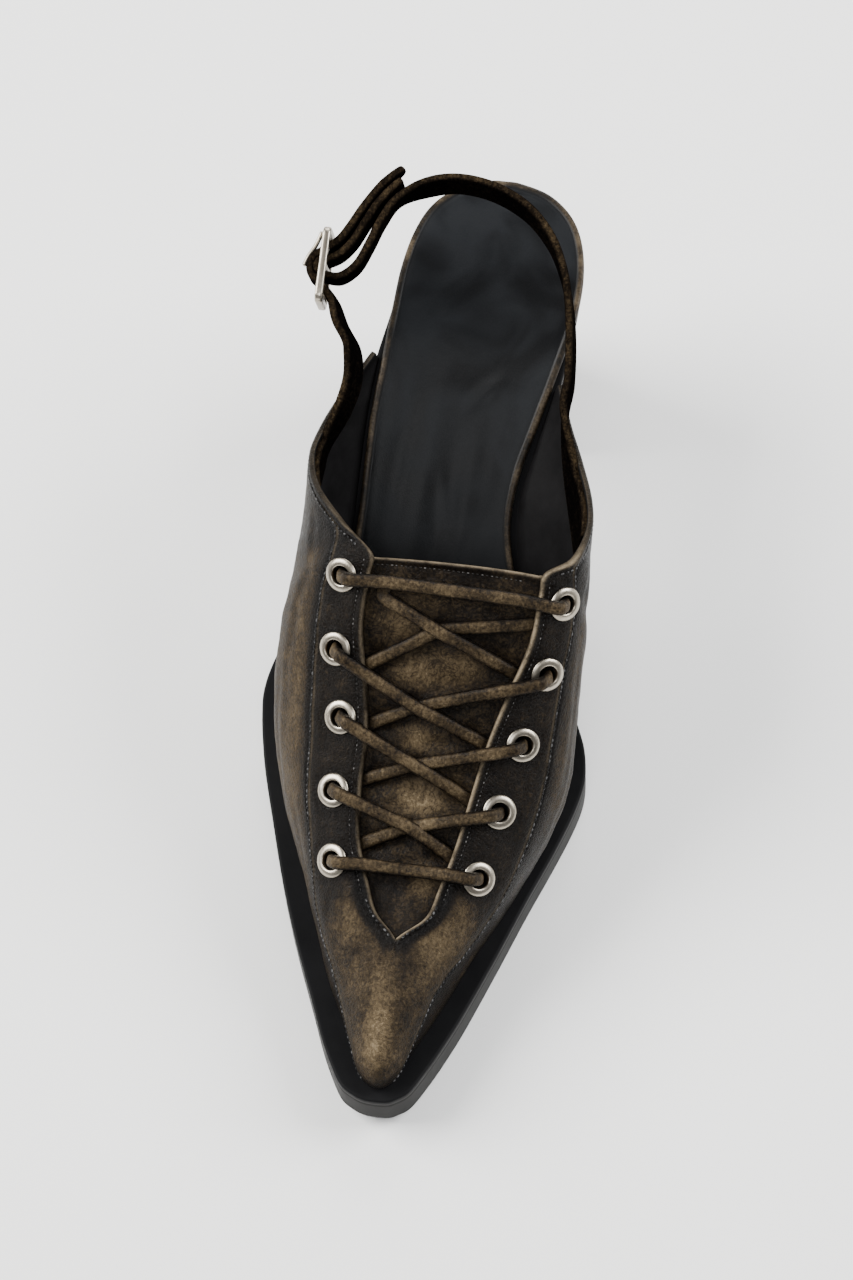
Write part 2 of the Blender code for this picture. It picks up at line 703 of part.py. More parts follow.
def tongue_row(station, columns):
    """Evenly spaced points of the tongue's line across the slot, on the upper's unraised face."""
    start = 0.62
    left = rib_points(False, [station], np.linspace(start, 1.0, 12))[0]
    right = rib_points(True, [station], np.linspace(1.0, start, 12))[0]
    bridge = np.zeros((0, 3))
    if station > len(TOE_RIBS) - 1 + 0.05:
        bridge = over_slot(station, np.linspace(0.1, 0.9, 9))
    else:
        right = right[1:]
    line = np.concatenate([left, bridge, right])
    run = np.concatenate([[0.0], np.cumsum(np.linalg.norm(np.diff(line, axis=0), axis=1))])
    spots = np.linspace(0.0, run[-1], columns)
    return np.stack([np.interp(spots, run, line[:, k]) for k in range(3)], axis=1)


def make_tongue(collection, material):
    """Tongue under the slot, clear of the upper's inner face."""
    last = float(THROAT_STATION)
    stations = np.concatenate([[3.3, 3.8], np.arange(4.3, last - 0.2, 0.5), [last - 0.12]])
    line = np.array([tongue_row(station, 9) for station in stations])
    along = np.gradient(line, axis=0)
    across = np.gradient(line, axis=1)
    normals = unit(np.cross(across, along))
    top = line - normals * (WALL + TONGUE_GAP)
    points = np.stack([top - normals * TONGUE_THICK, top], axis=2)
    return lattice("tongue", points, collection, material)


def make_eyelet(name, x, a, collection, material):
    """Eyelet whose barrel runs through the panel and whose flange sits on it."""
    profile = (
        (EYELET_BORE, -WALL - 0.1),
        (EYELET_BARREL, -WALL - 0.1),
        (EYELET_BARREL, PANEL_STEP + GAP + 0.1),
        (EYELET_FLANGE, PANEL_STEP + GAP + 0.1),
        (EYELET_FLANGE - 0.5, PANEL_STEP + 1.2),
        (EYELET_BORE + 0.3, PANEL_STEP + 1.3),
    )
    z, normal = face_point(x, a)
    turn = Vector(normal).to_track_quat("Z", "Y").to_matrix()
    centre = np.array([x, a, z])
    segments = EYELET_SIDES
    vertices = []
    for k in range(segments):
        angle = 2.0 * math.pi * k / segments
        for radius, height in profile:
            spot = turn @ Vector((radius * math.cos(angle), radius * math.sin(angle), height))
            vertices.append(centre + np.array(spot))
    faces = []
    size = len(profile)
    for k in range(segments):
        here = k * size
        there = (k + 1) % segments * size
        for j in range(size):
            nxt = (j + 1) % size
            faces.append((here + j, there + j, there + nxt, here + nxt))
    return body(name, place(vertices), faces, collection, material)


def tube(name, path, sideways, width, thick, collection, material, sides=8):
    """Cord of flattened round section along a path of (x, a, z) points."""
    path = np.asarray(path, dtype=float)
    sideways = np.asarray(sideways, dtype=float)
    along = unit(np.gradient(path, axis=0))
    up = unit(sideways - along * (sideways * along).sum(axis=1, keepdims=True))
    side = np.cross(along, up)
    angles = 2.0 * math.pi * np.arange(sides) / sides
    rings = (
        path[:, None]
        + side[:, None] * (np.cos(angles) * width / 2.0)[None, :, None]
        + up[:, None] * (np.sin(angles) * thick / 2.0)[None, :, None]
    )
    rows = len(path)
    faces = []
    for i in range(rows - 1):
        for j in range(sides):
            nxt = (j + 1) % sides
            faces.append((i * sides + j, (i + 1) * sides + j, (i + 1) * sides + nxt, i * sides + nxt))
    faces.append(tuple(range(sides)))
    faces.append(tuple((rows - 1) * sides + j for j in range(sides)))
    return body(name, place(rings.reshape(-1, 3)), faces, collection, material)


def lace_path(spots):
    """Smooth path and its upward normals through (x, a, lift) spots over the upper."""
    ends = np.array([[*lifted(*spot), *face_point(spot[0], spot[1])[1]] for spot in spots])
    dense = smooth(ends, np.linspace(0.0, len(spots) - 1.0, 3 * (len(spots) - 1) + 1))
    return dense[:, :3], unit(dense[:, 3:])


def make_lace_bar(name, row, collection, material):
    """Straight lace between the two eyelets of a row, over the eyestays and the slot."""
    left_x, left_a, right_x, right_a = row
    over = PANEL_STEP + GAP + 1.2 + LACE_THICK / 2.0 + 0.2
    edge = PANEL_STEP + 0.5 + LACE_THICK / 2.0
    flange = EYELET_FLANGE / (right_x - left_x)
    reach = 2.2 * flange
    lifts = (
        (0.0, over), (flange, over), (reach, edge), (0.5, edge - 0.4),
        (1.0 - reach, edge), (1.0 - flange, over), (1.0, over),
    )
    spots = []
    for share, lift in lifts:
        spots.append((left_x + (right_x - left_x) * share, left_a + (right_a - left_a) * share, lift))
    path, normals = lace_path(spots)
    return tube(name, path, normals, LACE_WIDTH, LACE_THICK, collection, material)


def make_crossing(name, arms, collection, cutters, material):
    """Two laces that cross on the tongue, joined where they meet."""
    over = PANEL_STEP + GAP + 1.2 + LACE_THICK / 2.0 + 0.2
    edge = PANEL_STEP + 0.4 + LACE_THICK / 2.0
    pieces = []
    for from_x, from_a, mid_x, mid_a, mid_lift, to_x, to_a, starts_inside in arms:
        low = LACE_THICK / 2.0 + GAP - WALL - TONGUE_GAP
        if starts_inside:
            spots = [(from_x, from_a, low), (mid_x, mid_a, mid_lift - 0.9), (to_x, to_a, low)]
        else:
            flange = EYELET_FLANGE / math.hypot(mid_x - from_x, mid_a - from_a)
            spots = []
            for share, lift in ((0.0, over), (flange, over + 0.2), (2.3 * flange, edge + 0.9)):
                near_x = from_x + (mid_x - from_x) * share
                near_a = from_a + (mid_a - from_a) * share
                spots.append((near_x, near_a, lift))
            spots.append((mid_x, mid_a, mid_lift - 0.2))
            spots.append((to_x, to_a, low))
        path, normals = lace_path(spots)
        target = collection if not pieces else cutters
        label = name if not pieces else name + "_under"
        pieces.append(tube(label, path, normals, LACE_WIDTH, LACE_THICK, target, material))
    pieces[1].hide_render = True
    pieces[1].display_type = "WIRE"
    join = pieces[0].modifiers.new("joined lace", "BOOLEAN")
    join.operation = "UNION"
    join.solver = "EXACT"
    join.object = pieces[1]
    return pieces[0]


def buckle_spot(along, outward, up):
    """Point in the buckle's own directions: along the strap, outward and up across it."""
    pitch = math.radians(BUCKLE_PITCH)
    return np.array(BUCKLE_CENTRE) + np.array([
        -outward,
        along * math.cos(pitch) - up * math.sin(pitch),
        along * math.sin(pitch) + up * math.cos(pitch),
    ])


def wall_seat(medial, station, share):
    """Middle of a strap sewn on the upper's inner face."""
    spot = rib_points(medial, [station], [share])[0, 0]
    normal = rib_normals(medial, [station], [share])[0, 0]
    return spot - normal * (WALL + GAP + STRAP_THICK / 2.0)


def strap_rows(medial, seat, run, turn):
    """Rows of a strap: its lower edge, middle and upper edge, from its seat to its far end."""
    rows = []
    for station, low, high in seat:
        rows.append([wall_seat(medial, station, share) for share in (low, (low + high) / 2.0, high)])
    for x, a, z, width in run:
        rows.append([np.array([x, a, z + width * half]) for half in (-0.5, 0.0, 0.5)])
    width = run[-1][-1]
    for along, outward in turn:
        rows.append([buckle_spot(along, outward, width * half) for half in (-0.5, 0.0, 0.5)])
    return np.array(rows)


def make_strap(name, rows, collection, material, tip_length=0.0):
    """Strap of even thickness along its rows, drawn to a point at its end if wanted."""
    rows = smooth(rows.reshape(-1, 9), np.arange(0.0, len(rows) - 0.99, 0.5)).reshape(-1, 3, 3)
    path = rows[:, 1]
    if tip_length:
        run = np.concatenate([[0.0], np.cumsum(np.linalg.norm(np.diff(path, axis=0), axis=1))])
        left = np.clip((run[-1] - run) / tip_length, 0.0, 1.0)
        narrow = 0.3 + 0.7 * np.sqrt(left)
        rows = path[:, None] + (rows - path[:, None]) * narrow[:, None, None]
    side = unit(np.cross(np.gradient(rows, axis=0), np.gradient(rows, axis=1)))
    points = np.stack([rows - side * STRAP_THICK / 2.0, rows + side * STRAP_THICK / 2.0], axis=2)
    return lattice(name, points, collection, material)


def make_buckle_frame(collection, cutters, material):
    """Rectangular frame with a bar across its middle."""
    half_l, half_h, bar = FRAME_LENGTH / 2.0, FRAME_HEIGHT / 2.0, FRAME_BAR
    chamfer = 1.6
    ring = []
    for reach in (0.0, bar):
        l, h = half_l - reach, half_h - reach
        c = chamfer if reach == 0.0 else 0.6
        ring.append([(l - c, -h), (l, -h + c), (l, h - c), (l - c, h), (-l + c, h), (-l, h - c),
                     (-l, -h + c), (-l + c, -h)])
    vertices = []
    for outward in (-bar / 2.0, bar / 2.0):
        for loop in ring:
            vertices.extend(buckle_spot(along, outward, up) for along, up in loop)
    faces = []
    for k in range(8):
        n = (k + 1) % 8
        faces.append((k, n, 8 + n, 8 + k))
        faces.append((16 + k, 24 + k, 24 + n, 16 + n))
        faces.append((k, 16 + k, 16 + n, n))
        faces.append((8 + k, 8 + n, 24 + n, 24 + k))
    frame = body("buckle_frame", place(vertices), faces, collection, material)
    path = [buckle_spot(0.0, 0.0, up) for up in (-half_h + bar / 2, 0.0, half_h - bar / 2)]
    outward = [(-1.0, 0.0, 0.0)] * 3
    bar_piece = tube("buckle_bar", path, outward, 2.0, 2.0, cutters, material)
    bar_piece.hide_render = True
    bar_piece.display_type = "WIRE"
    join = frame.modifiers.new("centre bar", "BOOLEAN")
    join.operation = "UNION"
    join.solver = "EXACT"
    join.object = bar_piece
    return frame


def make_prong(collection, material):
    """Buckle's prong, over the strap from the centre bar's place to the rear bar."""
    spots = ((0.6, 5.9), (3.2, 5.0), (6.4, 3.4), (10.2, 2.2))
    path = [buckle_spot(along, outward, 0.0) for along, outward in spots]
    normals = [(-1.0, 0.0, 0.0)] * len(path)
    return tube("buckle_prong", path, normals, 1.6, 1.4, collection, material, sides=6)


def main():
    """Model the whole shoe."""
    for item in list(bpy.data.objects):
        bpy.data.objects.remove(item, do_unlink=True)
    shoe = new_collection("lace_up_heel")
    cutters = new_collection("cutters")

    rubber = finish("black rubber", (0.045, 0.045, 0.048), 0.6)
    heel_cover = finish("heel leather", (0.05, 0.04, 0.032), 0.5)
    sock = finish("black sock leather", (0.022, 0.023, 0.025), 0.5)
    leather = finish("rubbed bronze leather", (0.095, 0.072, 0.048), 0.42)
    tongue_leather = finish("tongue leather", (0.07, 0.055, 0.04), 0.45)
    cord = finish("lace leather", (0.06, 0.048, 0.036), 0.5)
    nickel = finish("satin nickel", (0.62, 0.60, 0.56), 0.3, 1.0)

    make_outsole(shoe, rubber)
    make_heel(shoe, heel_cover)
    make_top_lift(shoe, rubber)
    make_insole(shoe, sock)
    make_upper(shoe, cutters, leather)
    make_tongue(shoe, tongue_leather)
    for number, row in enumerate(EYELETS, start=1):
        make_eyelet(f"eyelet_lateral_{number}", row[0], row[1], shoe, nickel)
        make_eyelet(f"eyelet_medial_{number}", row[2], row[3], shoe, nickel)
    make_lace_bar("lace_bar_top", EYELETS[0], shoe, cord)
    make_lace_bar("lace_bar_bottom", EYELETS[-1], shoe, cord)
    for name, arms in CROSSINGS:
        make_crossing(name, arms, shoe, cutters, cord)
    make_strap("sling_strap", strap_rows(True, SLING_SEAT, SLING_RUN, SLING_TURN), shoe, leather)
    make_strap("front_strap", strap_rows(False, FRONT_SEAT, FRONT_RUN, FRONT_TURN), shoe, leather, 7.0)
    make_buckle_frame(shoe, cutters, nickel)
    make_prong(shoe, nickel)


main()
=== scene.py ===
"""Looks of the right foot's lace up slingback heel, in the row frame.

Every piece is a numpy surface worked out from the shoe's own sizes, in millimetres: x is across the
foot, a the distance back from the toe tip and z the height over the floor. The outer (lateral)
side lies at negative x. Last.place() turns them into metres in the row frame.
"""

from __future__ import annotations

import logging
import math
from dataclasses import dataclass, field
from enum import Enum

import bmesh
import bpy
import numpy as np
from mathutils import Matrix

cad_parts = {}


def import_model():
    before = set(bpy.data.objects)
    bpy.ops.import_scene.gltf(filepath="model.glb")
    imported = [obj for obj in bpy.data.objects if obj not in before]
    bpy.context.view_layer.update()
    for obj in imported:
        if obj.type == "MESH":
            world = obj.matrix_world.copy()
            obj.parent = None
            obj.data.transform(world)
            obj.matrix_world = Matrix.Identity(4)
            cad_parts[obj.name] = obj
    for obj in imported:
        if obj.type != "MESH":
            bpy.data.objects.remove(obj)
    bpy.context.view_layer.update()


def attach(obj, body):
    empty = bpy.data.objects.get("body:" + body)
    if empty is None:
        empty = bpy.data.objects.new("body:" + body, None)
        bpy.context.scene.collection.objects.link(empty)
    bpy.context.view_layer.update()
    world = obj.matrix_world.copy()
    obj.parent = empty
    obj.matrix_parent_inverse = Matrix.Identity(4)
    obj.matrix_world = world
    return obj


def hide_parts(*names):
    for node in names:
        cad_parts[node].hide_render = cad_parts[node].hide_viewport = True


log = logging.getLogger("lace up heel")

MM = 0.001
FloatArray = np.ndarray


# Tables of the shoe's own sizes

BED = (
    (-1.0, 19.0), (5.0, 18.5), (25.0, 16.0), (50.0, 14.5), (75.0, 14.2), (90.0, 14.8),
    (105.0, 16.8), (120.0, 22.0), (140.0, 32.5), (160.0, 44.5), (180.0, 57.0), (200.0, 68.0),
    (215.0, 74.5), (235.0, 78.0), (264.0, 81.0),
)
UNDERSIDE = (
    (-1.0, 4.2), (8.0, 2.6), (18.0, 1.0), (32.0, 0.0), (65.0, 0.0), (98.0, 0.0),
    (106.0, 1.6), (120.0, 9.0), (140.0, 22.6), (160.0, 36.6), (180.0, 49.8), (200.0, 61.2),
    (215.0, 67.4), (235.0, 71.2), (264.0, 74.2),
)
# a, lateral x, medial x
SOLE_OUTLINE = (
    (-0.6, -1.2, -1.0), (-0.3, -4.2, 2.4), (0.9, -7.4, 4.8), (3.6, -11.2, 8.0),
    (9.5, -14.8, 11.1), (17.5, -18.7, 14.6), (28.7, -23.3, 19.0), (47.5, -31.2, 25.6),
    (66.0, -38.0, 31.8), (83.0, -43.4, 37.9), (96.0, -47.4, 42.0), (105.0, -49.6, 43.6),
    (113.0, -51.0, 42.6), (120.0, -51.3, 39.6), (128.0, -49.2, 35.4), (138.0, -44.2, 30.0),
    (150.0, -37.6, 23.6), (162.0, -33.6, 19.2), (175.0, -32.2, 18.2), (189.0, -31.4, 21.6),
    (203.0, -29.6, 24.4), (216.0, -27.0, 26.0), (231.0, -24.8, 26.6), (244.0, -21.8, 24.2),
    (253.0, -16.6, 18.4), (258.6, -9.8, 11.8), (260.8, -1.0, 2.0),
)
HEEL_STATIONS = (20.3, 21.0, 22.0, 23.0, 23.6, 24.3, 25.0, 25.5, 26.0)
INSOLE_OUTLINE = (
    (6.6, -1.2, -0.4), (8.0, -3.0, 1.9), (12.0, -5.6, 3.9), (19.0, -9.2, 6.5),
    (30.0, -14.4, 10.8), (44.0, -20.0, 15.8), (60.0, -26.0, 22.8), (76.0, -32.0, 28.8),
    (90.0, -36.6, 33.2), (103.0, -39.0, 35.2), (115.0, -39.3, 33.2), (127.0, -37.8, 29.4),
    (141.0, -33.4, 23.0), (154.0, -30.2, 17.4), (166.0, -29.3, 14.6), (178.0, -29.1, 15.6),
    (190.0, -28.7, 19.0), (203.0, -27.4, 22.8), (217.0, -26.3, 26.2), (231.0, -25.4, 27.3),
    (243.0, -23.1, 25.6), (252.0, -19.0, 21.4), (258.4, -11.9, 14.2), (261.3, -3.6, 5.4),
    (261.6, 1.0, 1.0),
)
# foot x, foot a, top x, top a, top z, heading, belly, rise, reach, dip
TOE_RIBS = (
    (-0.4, 3.4, -0.4, 15.0, 28.5, 90.0, 0.4, 7.0, 6.5, 2.6),
    (-5.3, 6.2, -0.5, 20.0, 30.0, 62.0, 0.3, 8.0, 7.5, 1.9),
    (-9.3, 13.5, -0.5, 26.0, 31.5, 42.0, 0.3, 9.0, 8.2, 1.5),
    (-14.0, 23.5, -0.5, 33.0, 33.0, 22.0, 0.3, 10.5, 9.0, 0.9),
    (-19.0, 33.5, -0.4, 40.0, 34.4, 8.0, 0.5, 12.0, 11.0, 0.5),
)
TOE_RIBS_MEDIAL_FOOT = ((-0.4, 3.4), (3.6, 6.8), (7.0, 14.2), (11.2, 23.8), (15.4, 34.0))
LATERAL_RIBS = (
    (-23.4, 45.0, -6.9, 47.0, 36.0, 0.0, 1.0, 15.0, 11.5, 1.6),
    (-27.2, 55.0, -10.3, 55.0, 38.2, 0.0, 1.5, 17.0, 12.0, 2.0),
    (-31.0, 66.0, -14.2, 66.0, 42.0, 0.0, 3.0, 19.0, 12.5, 2.6),
    (-35.8, 79.0, -15.4, 79.0, 47.8, 0.0, 6.0, 21.0, 15.5, 3.6),
    (-39.4, 91.0, -15.2, 91.0, 54.8, 0.0, 7.5, 24.0, 19.0, 4.5),
    (-41.6, 103.0, -16.9, 103.0, 62.6, 0.0, 9.5, 27.0, 20.0, 5.5),
    (-41.8, 115.0, -19.4, 115.0, 72.4, 0.0, 11.5, 30.0, 18.5, 6.0),
    (-39.9, 126.0, -18.7, 126.0, 81.6, 0.0, 14.5, 33.0, 18.5, 6.0),
    (-38.4, 132.0, -18.6, 131.5, 85.5, 0.0, 15.0, 34.0, 18.0, 5.5),
    (-35.6, 141.5, -28.0, 141.0, 83.8, 0.0, 14.5, 28.0, 13.0, 8.5),
    (-32.8, 153.0, -37.6, 152.5, 81.8, 0.0, 12.5, 17.0, 6.0, 13.0),
    (-31.9, 165.0, -41.2, 164.0, 79.4, 0.0, 9.5, 11.0, 2.5, 11.0),
    (-31.6, 177.0, -40.3, 176.0, 75.4, 0.0, 7.5, 8.0, 1.5, 8.0),
    (-31.1, 190.0, -37.0, 189.5, 71.4, 0.0, 4.0, 3.5, 1.0, 3.5),
    (-29.8, 205.0, -30.4, 205.0, 71.2, 0.0, 0.3, 0.8, 0.1, 0.8),
)
MEDIAL_RIBS = (
    (19.4, 45.0, 7.0, 47.0, 36.0, 0.0, 1.5, 15.0, 10.0, 1.5),
    (24.0, 55.0, 9.6, 55.0, 38.2, 0.0, 2.5, 17.5, 12.0, 1.8),
    (28.6, 66.0, 12.6, 66.0, 42.0, 0.0, 5.0, 20.0, 13.5, 2.4),
    (33.0, 79.0, 15.2, 79.0, 47.8, 0.0, 8.0, 23.0, 16.0, 3.2),
    (36.6, 91.0, 18.0, 91.0, 54.8, 0.0, 8.5, 26.0, 18.0, 4.2),
    (38.0, 103.0, 22.1, 103.0, 62.8, 0.0, 7.0, 29.0, 17.0, 5.0),
    (36.0, 115.0, 27.1, 115.0, 72.4, 0.0, 9.5, 32.0, 13.5, 5.5),
    (31.8, 126.0, 28.7, 126.0, 81.4, 0.0, 15.5, 34.0, 13.0, 6.0),
    (29.6, 131.5, 29.6, 130.8, 85.0, 0.0, 17.0, 33.0, 12.0, 6.5),
    (27.0, 138.0, 36.6, 136.8, 84.2, 0.0, 16.5, 26.0, 6.5, 9.0),
    (22.4, 148.0, 40.0, 147.2, 82.8, 0.0, 15.0, 15.0, 1.6, 16.0),
    (18.6, 160.0, 38.9, 158.5, 80.4, 0.0, 11.5, 9.0, 1.0, 15.0),
    (17.6, 173.0, 34.4, 173.0, 76.4, 0.0, 8.0, 5.0, 0.6, 11.0),
    (20.8, 187.0, 29.4, 187.0, 72.4, 0.0, 4.0, 3.0, 0.4, 5.0),
    (24.6, 201.0, 25.2, 201.0, 70.2, 0.0, 0.3, 0.8, 0.1, 0.8),
)
# lateral, medial share up each rib at which the long seam crosses it
SEAM_SHARES = (
    (0.00, 0.00), (0.08, 0.07), (0.20, 0.22), (0.25, 0.34), (0.29, 0.34), (0.32, 0.31),
    (0.40, 0.32), (0.52, 0.41), (0.61, 0.51), (0.67, 0.59), (0.71, 0.65), (0.74, 0.69),
    (0.75, 0.70), (0.77, 0.72), (0.93, 0.94), (1.00, 1.00), (1.00, 1.00), (1.00, 1.00),
    (1.00, 1.00), (1.00, 1.00),
)
# lateral x, lateral a, medial x, medial a
EYELETS = (
    (-26.0, 127.0, 35.0, 126.6),
    (-26.0, 111.0, 32.2, 110.8),
    (-22.8, 95.6, 27.6, 94.2),
    (-22.6, 78.0, 23.2, 77.4),
    (-20.6, 60.4, 19.6, 60.0),
)
# from x, from a, crossing x, crossing a, to x, to a: lateral arm, then medial arm
CROSSINGS = (
    ((-14.0, 121.6, 2.6, 115.6, 20.0, 109.6), (22.0, 118.4, 2.6, 115.6, -14.2, 108.2)),
    ((-26.0, 110.9, -1.8, 98.6, 13.6, 93.2), (32.4, 110.3, -1.8, 98.6, -10.8, 95.2)),
    ((-22.8, 95.7, -0.8, 85.0, 10.6, 80.2), (27.6, 94.0, -0.8, 85.0, -11.4, 81.6)),
    ((-22.8, 78.4, -0.6, 69.8, 8.4, 65.4), (23.2, 77.1, -0.6, 69.8, -9.8, 66.0)),
)
# station, share at the strap's lower edge, share at its upper edge
SLING_SEAT = ((15.1, 0.56, 0.93), (15.8, 0.58, 0.94), (16.4, 0.60, 0.95), (16.9, 0.64, 0.98))
FRONT_SEAT = ((15.1, 0.56, 0.93), (15.8, 0.56, 0.94), (16.3, 0.58, 0.95), (16.8, 0.62, 0.98))
# x, a, z, width
SLING_RUN = (
    (28.0, 184.5, 80.8, 8.6), (28.2, 193.5, 85.0, 8.4), (27.4, 203.0, 89.5, 8.2),
    (25.8, 212.2, 93.5, 8.2), (23.0, 221.0, 97.0, 8.2), (18.4, 229.2, 100.0, 8.2),
    (11.0, 236.4, 102.4, 8.2), (1.0, 241.0, 104.0, 8.2), (-9.5, 242.4, 104.4, 8.2),
    (-18.6, 240.4, 103.6, 8.2),
)
FRONT_RUN = ((-34.6, 181.5, 77.0, 8.8), (-32.8, 189.0, 81.5, 8.4), (-34.0, 196.0, 86.0, 8.2))
# along the strap from the buckle's centre bar, outward from the foot
SLING_TURN = (
    (21.6, -18.1), (15.0, -14.4), (7.9, -11.9), (1.5, -9.2), (-2.2, -5.4), (-2.7, -2.2),
    (-2.0, 0.1), (-1.2, 1.6), (0.4, 2.0), (1.7, 1.0), (2.3, -1.2), (4.2, -4.2),
    (8.0, -7.2), (13.4, -9.8), (19.2, -12.6), (24.0, -16.0), (26.8, -18.6),
)
FRONT_TURN = (
    (-15.0, -6.2), (-9.6, -3.8), (-5.2, -0.2), (-2.8, 3.0), (0.0, 3.9), (2.7, 3.0),
    (4.8, 0.4), (8.0, -3.3), (12.0, -5.8), (18.6, -9.2), (25.2, -13.4), (31.0, -18.4),
)


class Side(Enum):
    """Half of the shoe, valued by the sign of its x."""

    LATERAL = -1
    MEDIAL = 1


class Piece(Enum):
    """Names of material slots that each piece is passed with; install() does not read them."""

    RUBBER = "black_rubber"
    HEEL = "heel_leather"
    SOCK = "black_sock_leather"
    UPPER = "rubbed_bronze_leather"
    TONGUE = "tongue_leather"
    LACE = "lace_leather"
    NICKEL = "satin_nickel"


@dataclass(frozen=True)
class Sizes:
    """Driving sizes of the shoe, in millimetres."""

    length: float = 262.0
    side_shift: float = 4.2
    sole_drop: float = 2.5
    gap: float = 0.3
    wall: float = 1.6
    panel_step: float = 0.8
    slot_crown: float = 0.3
    tongue_gap: float = 0.6
    tongue_thick: float = 2.0
    heel_taper: float = 0.72
    heel_inset: float = 0.985
    heel_back_gap: float = 0.6
    heel_back_lean: float = 4.0
    lift_thick: float = 6.0
    eyelet_bore: float = 2.6
    eyelet_barrel: float = 3.1
    eyelet_flange: float = 5.0
    lace_width: float = 3.8
    lace_thick: float = 2.8
    strap_thick: float = 1.5
    buckle_centre: tuple[float, float, float] = (-44.2, 215.8, 94.8)
    buckle_pitch: float = 19.0
    frame_length: float = 22.0
    frame_height: float = 13.4
    frame_bar: float = 2.2
    throat_station: int = 13
    slot_station: int = 4


# Small helpers on arrays


def unit(vectors: FloatArray) -> FloatArray:
    """Scale vectors to length one.

    Args:
        vectors: Array whose last axis holds the vectors.

    Returns:
        Array of the same shape, each vector of length one.
    """
    return vectors / np.maximum(np.linalg.norm(vectors, axis=-1, keepdims=True), 1e-12)


def smooth(table, stations) -> FloatArray:
    """Read a table at fractional row numbers, on a Catmull-Rom curve.

    Args:
        table: Rows of numbers, any shape behind the first axis.
        stations: Row numbers, whole or not.

    Returns:
        One row for each station.
    """
    rows = np.asarray(table, dtype=float)
    last = len(rows) - 1
    stations = np.clip(np.asarray(stations, dtype=float), 0.0, last)
    start = np.minimum(stations.astype(int), last - 1)
    share = (stations - start).reshape((-1,) + (1,) * (rows.ndim - 1))
    before = rows[np.maximum(start - 1, 0)]
    first = rows[start]
    second = rows[start + 1]
    after = rows[np.minimum(start + 2, last)]
    return 0.5 * (
        2.0 * first
        + (second - before) * share
        + (2.0 * before - 5.0 * first + 4.0 * second - after) * share**2
        + (3.0 * first - before - 3.0 * second + after) * share**3
    )


def ramp(low: float, high: float, values: FloatArray) -> FloatArray:
    """Smooth step from 0 at low to 1 at high."""
    t = np.clip((values - low) / (high - low), 0.0, 1.0)
    return t * t * (3.0 - 2.0 * t)


def bell(values: FloatArray, centre: float, width: float) -> FloatArray:
    """Soft bump of height one around a centre."""
    return np.exp(-(((values - centre) / width) ** 2))


def arc_length(points: FloatArray) -> FloatArray:
    """Distance along lines of points, the points on the last axis but one."""
    steps = np.linalg.norm(np.diff(points, axis=-2), axis=-1)
    start = np.zeros(steps.shape[:-1] + (1,))
    return np.concatenate([start, np.cumsum(steps, axis=-1)], axis=-1)


def at_runs(spots, run: FloatArray, points: FloatArray) -> FloatArray:
    """Rows of a line at given distances along it.

    Args:
        spots: Distances along the line.
        run: Distance of each row of the line.
        points: Rows of the line.

    Returns:
        One row for each spot.
    """
    return np.stack([np.interp(spots, run, column) for column in points.T], axis=1)


def to_segment(points: FloatArray, x0: float, a0: float, x1: float,
               a1: float) -> tuple[FloatArray, FloatArray]:
    """Distance from points to a segment, seen from above.

    Args:
        points: Points with x and a first.
        x0: Sideways place of the segment's start.
        a0: Place of the segment's start along the shoe.
        x1: Sideways place of its end.
        a1: Place of its end along the shoe.

    Returns:
        Distances, and the share of the segment at which each point is nearest.
    """
    start, step = np.array([x0, a0]), np.array([x1 - x0, a1 - a0])
    share = np.clip(((points[..., :2] - start) @ step) / (step @ step), 0.0, 1.0)
    return np.linalg.norm(points[..., :2] - start - share[..., None] * step, axis=-1), share


def fold_relief(points: FloatArray, row, ridge: float, beside: float, spread: float) -> FloatArray:
    """Height of a soft fold: a trough along a segment with a low ridge beside it.

    Args:
        points: Points with x and a first.
        row: From x, from a, to x, to a, depth and width of the fold.
        ridge: Height of the ridge over the trough's depth.
        beside: Distance of the ridge, in widths of the fold.
        spread: Width of the ridge, in widths of the fold.

    Returns:
        Height of the fold at each point.
    """
    x0, a0, x1, a1, depth, width = row
    gap, share = to_segment(points, x0, a0, x1, a1)
    return depth * np.sin(share * math.pi) ** 0.7 * (
        ridge * bell(gap, beside * width, spread * width) - bell(gap, 0.0, width)
    )


def wall_faces(border, first: int, second: int):
    """Faces that join two blocks along a border of the same grid.

    Args:
        border: Indices of the border's points within a block.
        first: Index of the first block's first point.
        second: Index of the second block's first point.

    Returns:
        Four corners for each face.
    """
    return np.stack([border[:-1] + first, border[1:] + first,
                     border[1:] + second, border[:-1] + second], axis=1)


def waves(points: FloatArray, pitch: float, seed: float) -> FloatArray:
    """Slow uneven waves from -1 to 1, a sum of slanted sines about pitch millimetres long."""
    x, a, z = np.moveaxis(points, -1, 0) * (2.0 * math.pi / pitch)
    return (
        np.sin(0.9 * x + 0.5 * a + seed)
        + np.sin(-0.6 * x + 0.8 * a + 0.4 * z + 2.3 * seed)
        + np.sin(0.3 * a - 0.9 * z + 0.7 * x + 3.1 * seed)
        + np.sin(1.7 * a + 0.9 * x + 1.3 * seed)
    ) / 4.0


def grid_faces(rows: int, columns: int, wrap: bool = False) -> FloatArray:
    """Quads of a grid of points, the last column joined to the first if wrap.

    Args:
        rows: Number of rows.
        columns: Number of columns.
        wrap: Whether the columns run round a closed loop.

    Returns:
        Array of corner indices, four to a face.
    """
    index = np.arange(rows * columns).reshape(rows, columns)
    if wrap:
        index = np.concatenate([index, index[:, :1]], axis=1)
    return np.stack([index[:-1, :-1], index[1:, :-1], index[1:, 1:], index[:-1, 1:]], axis=-1).reshape(-1, 4)


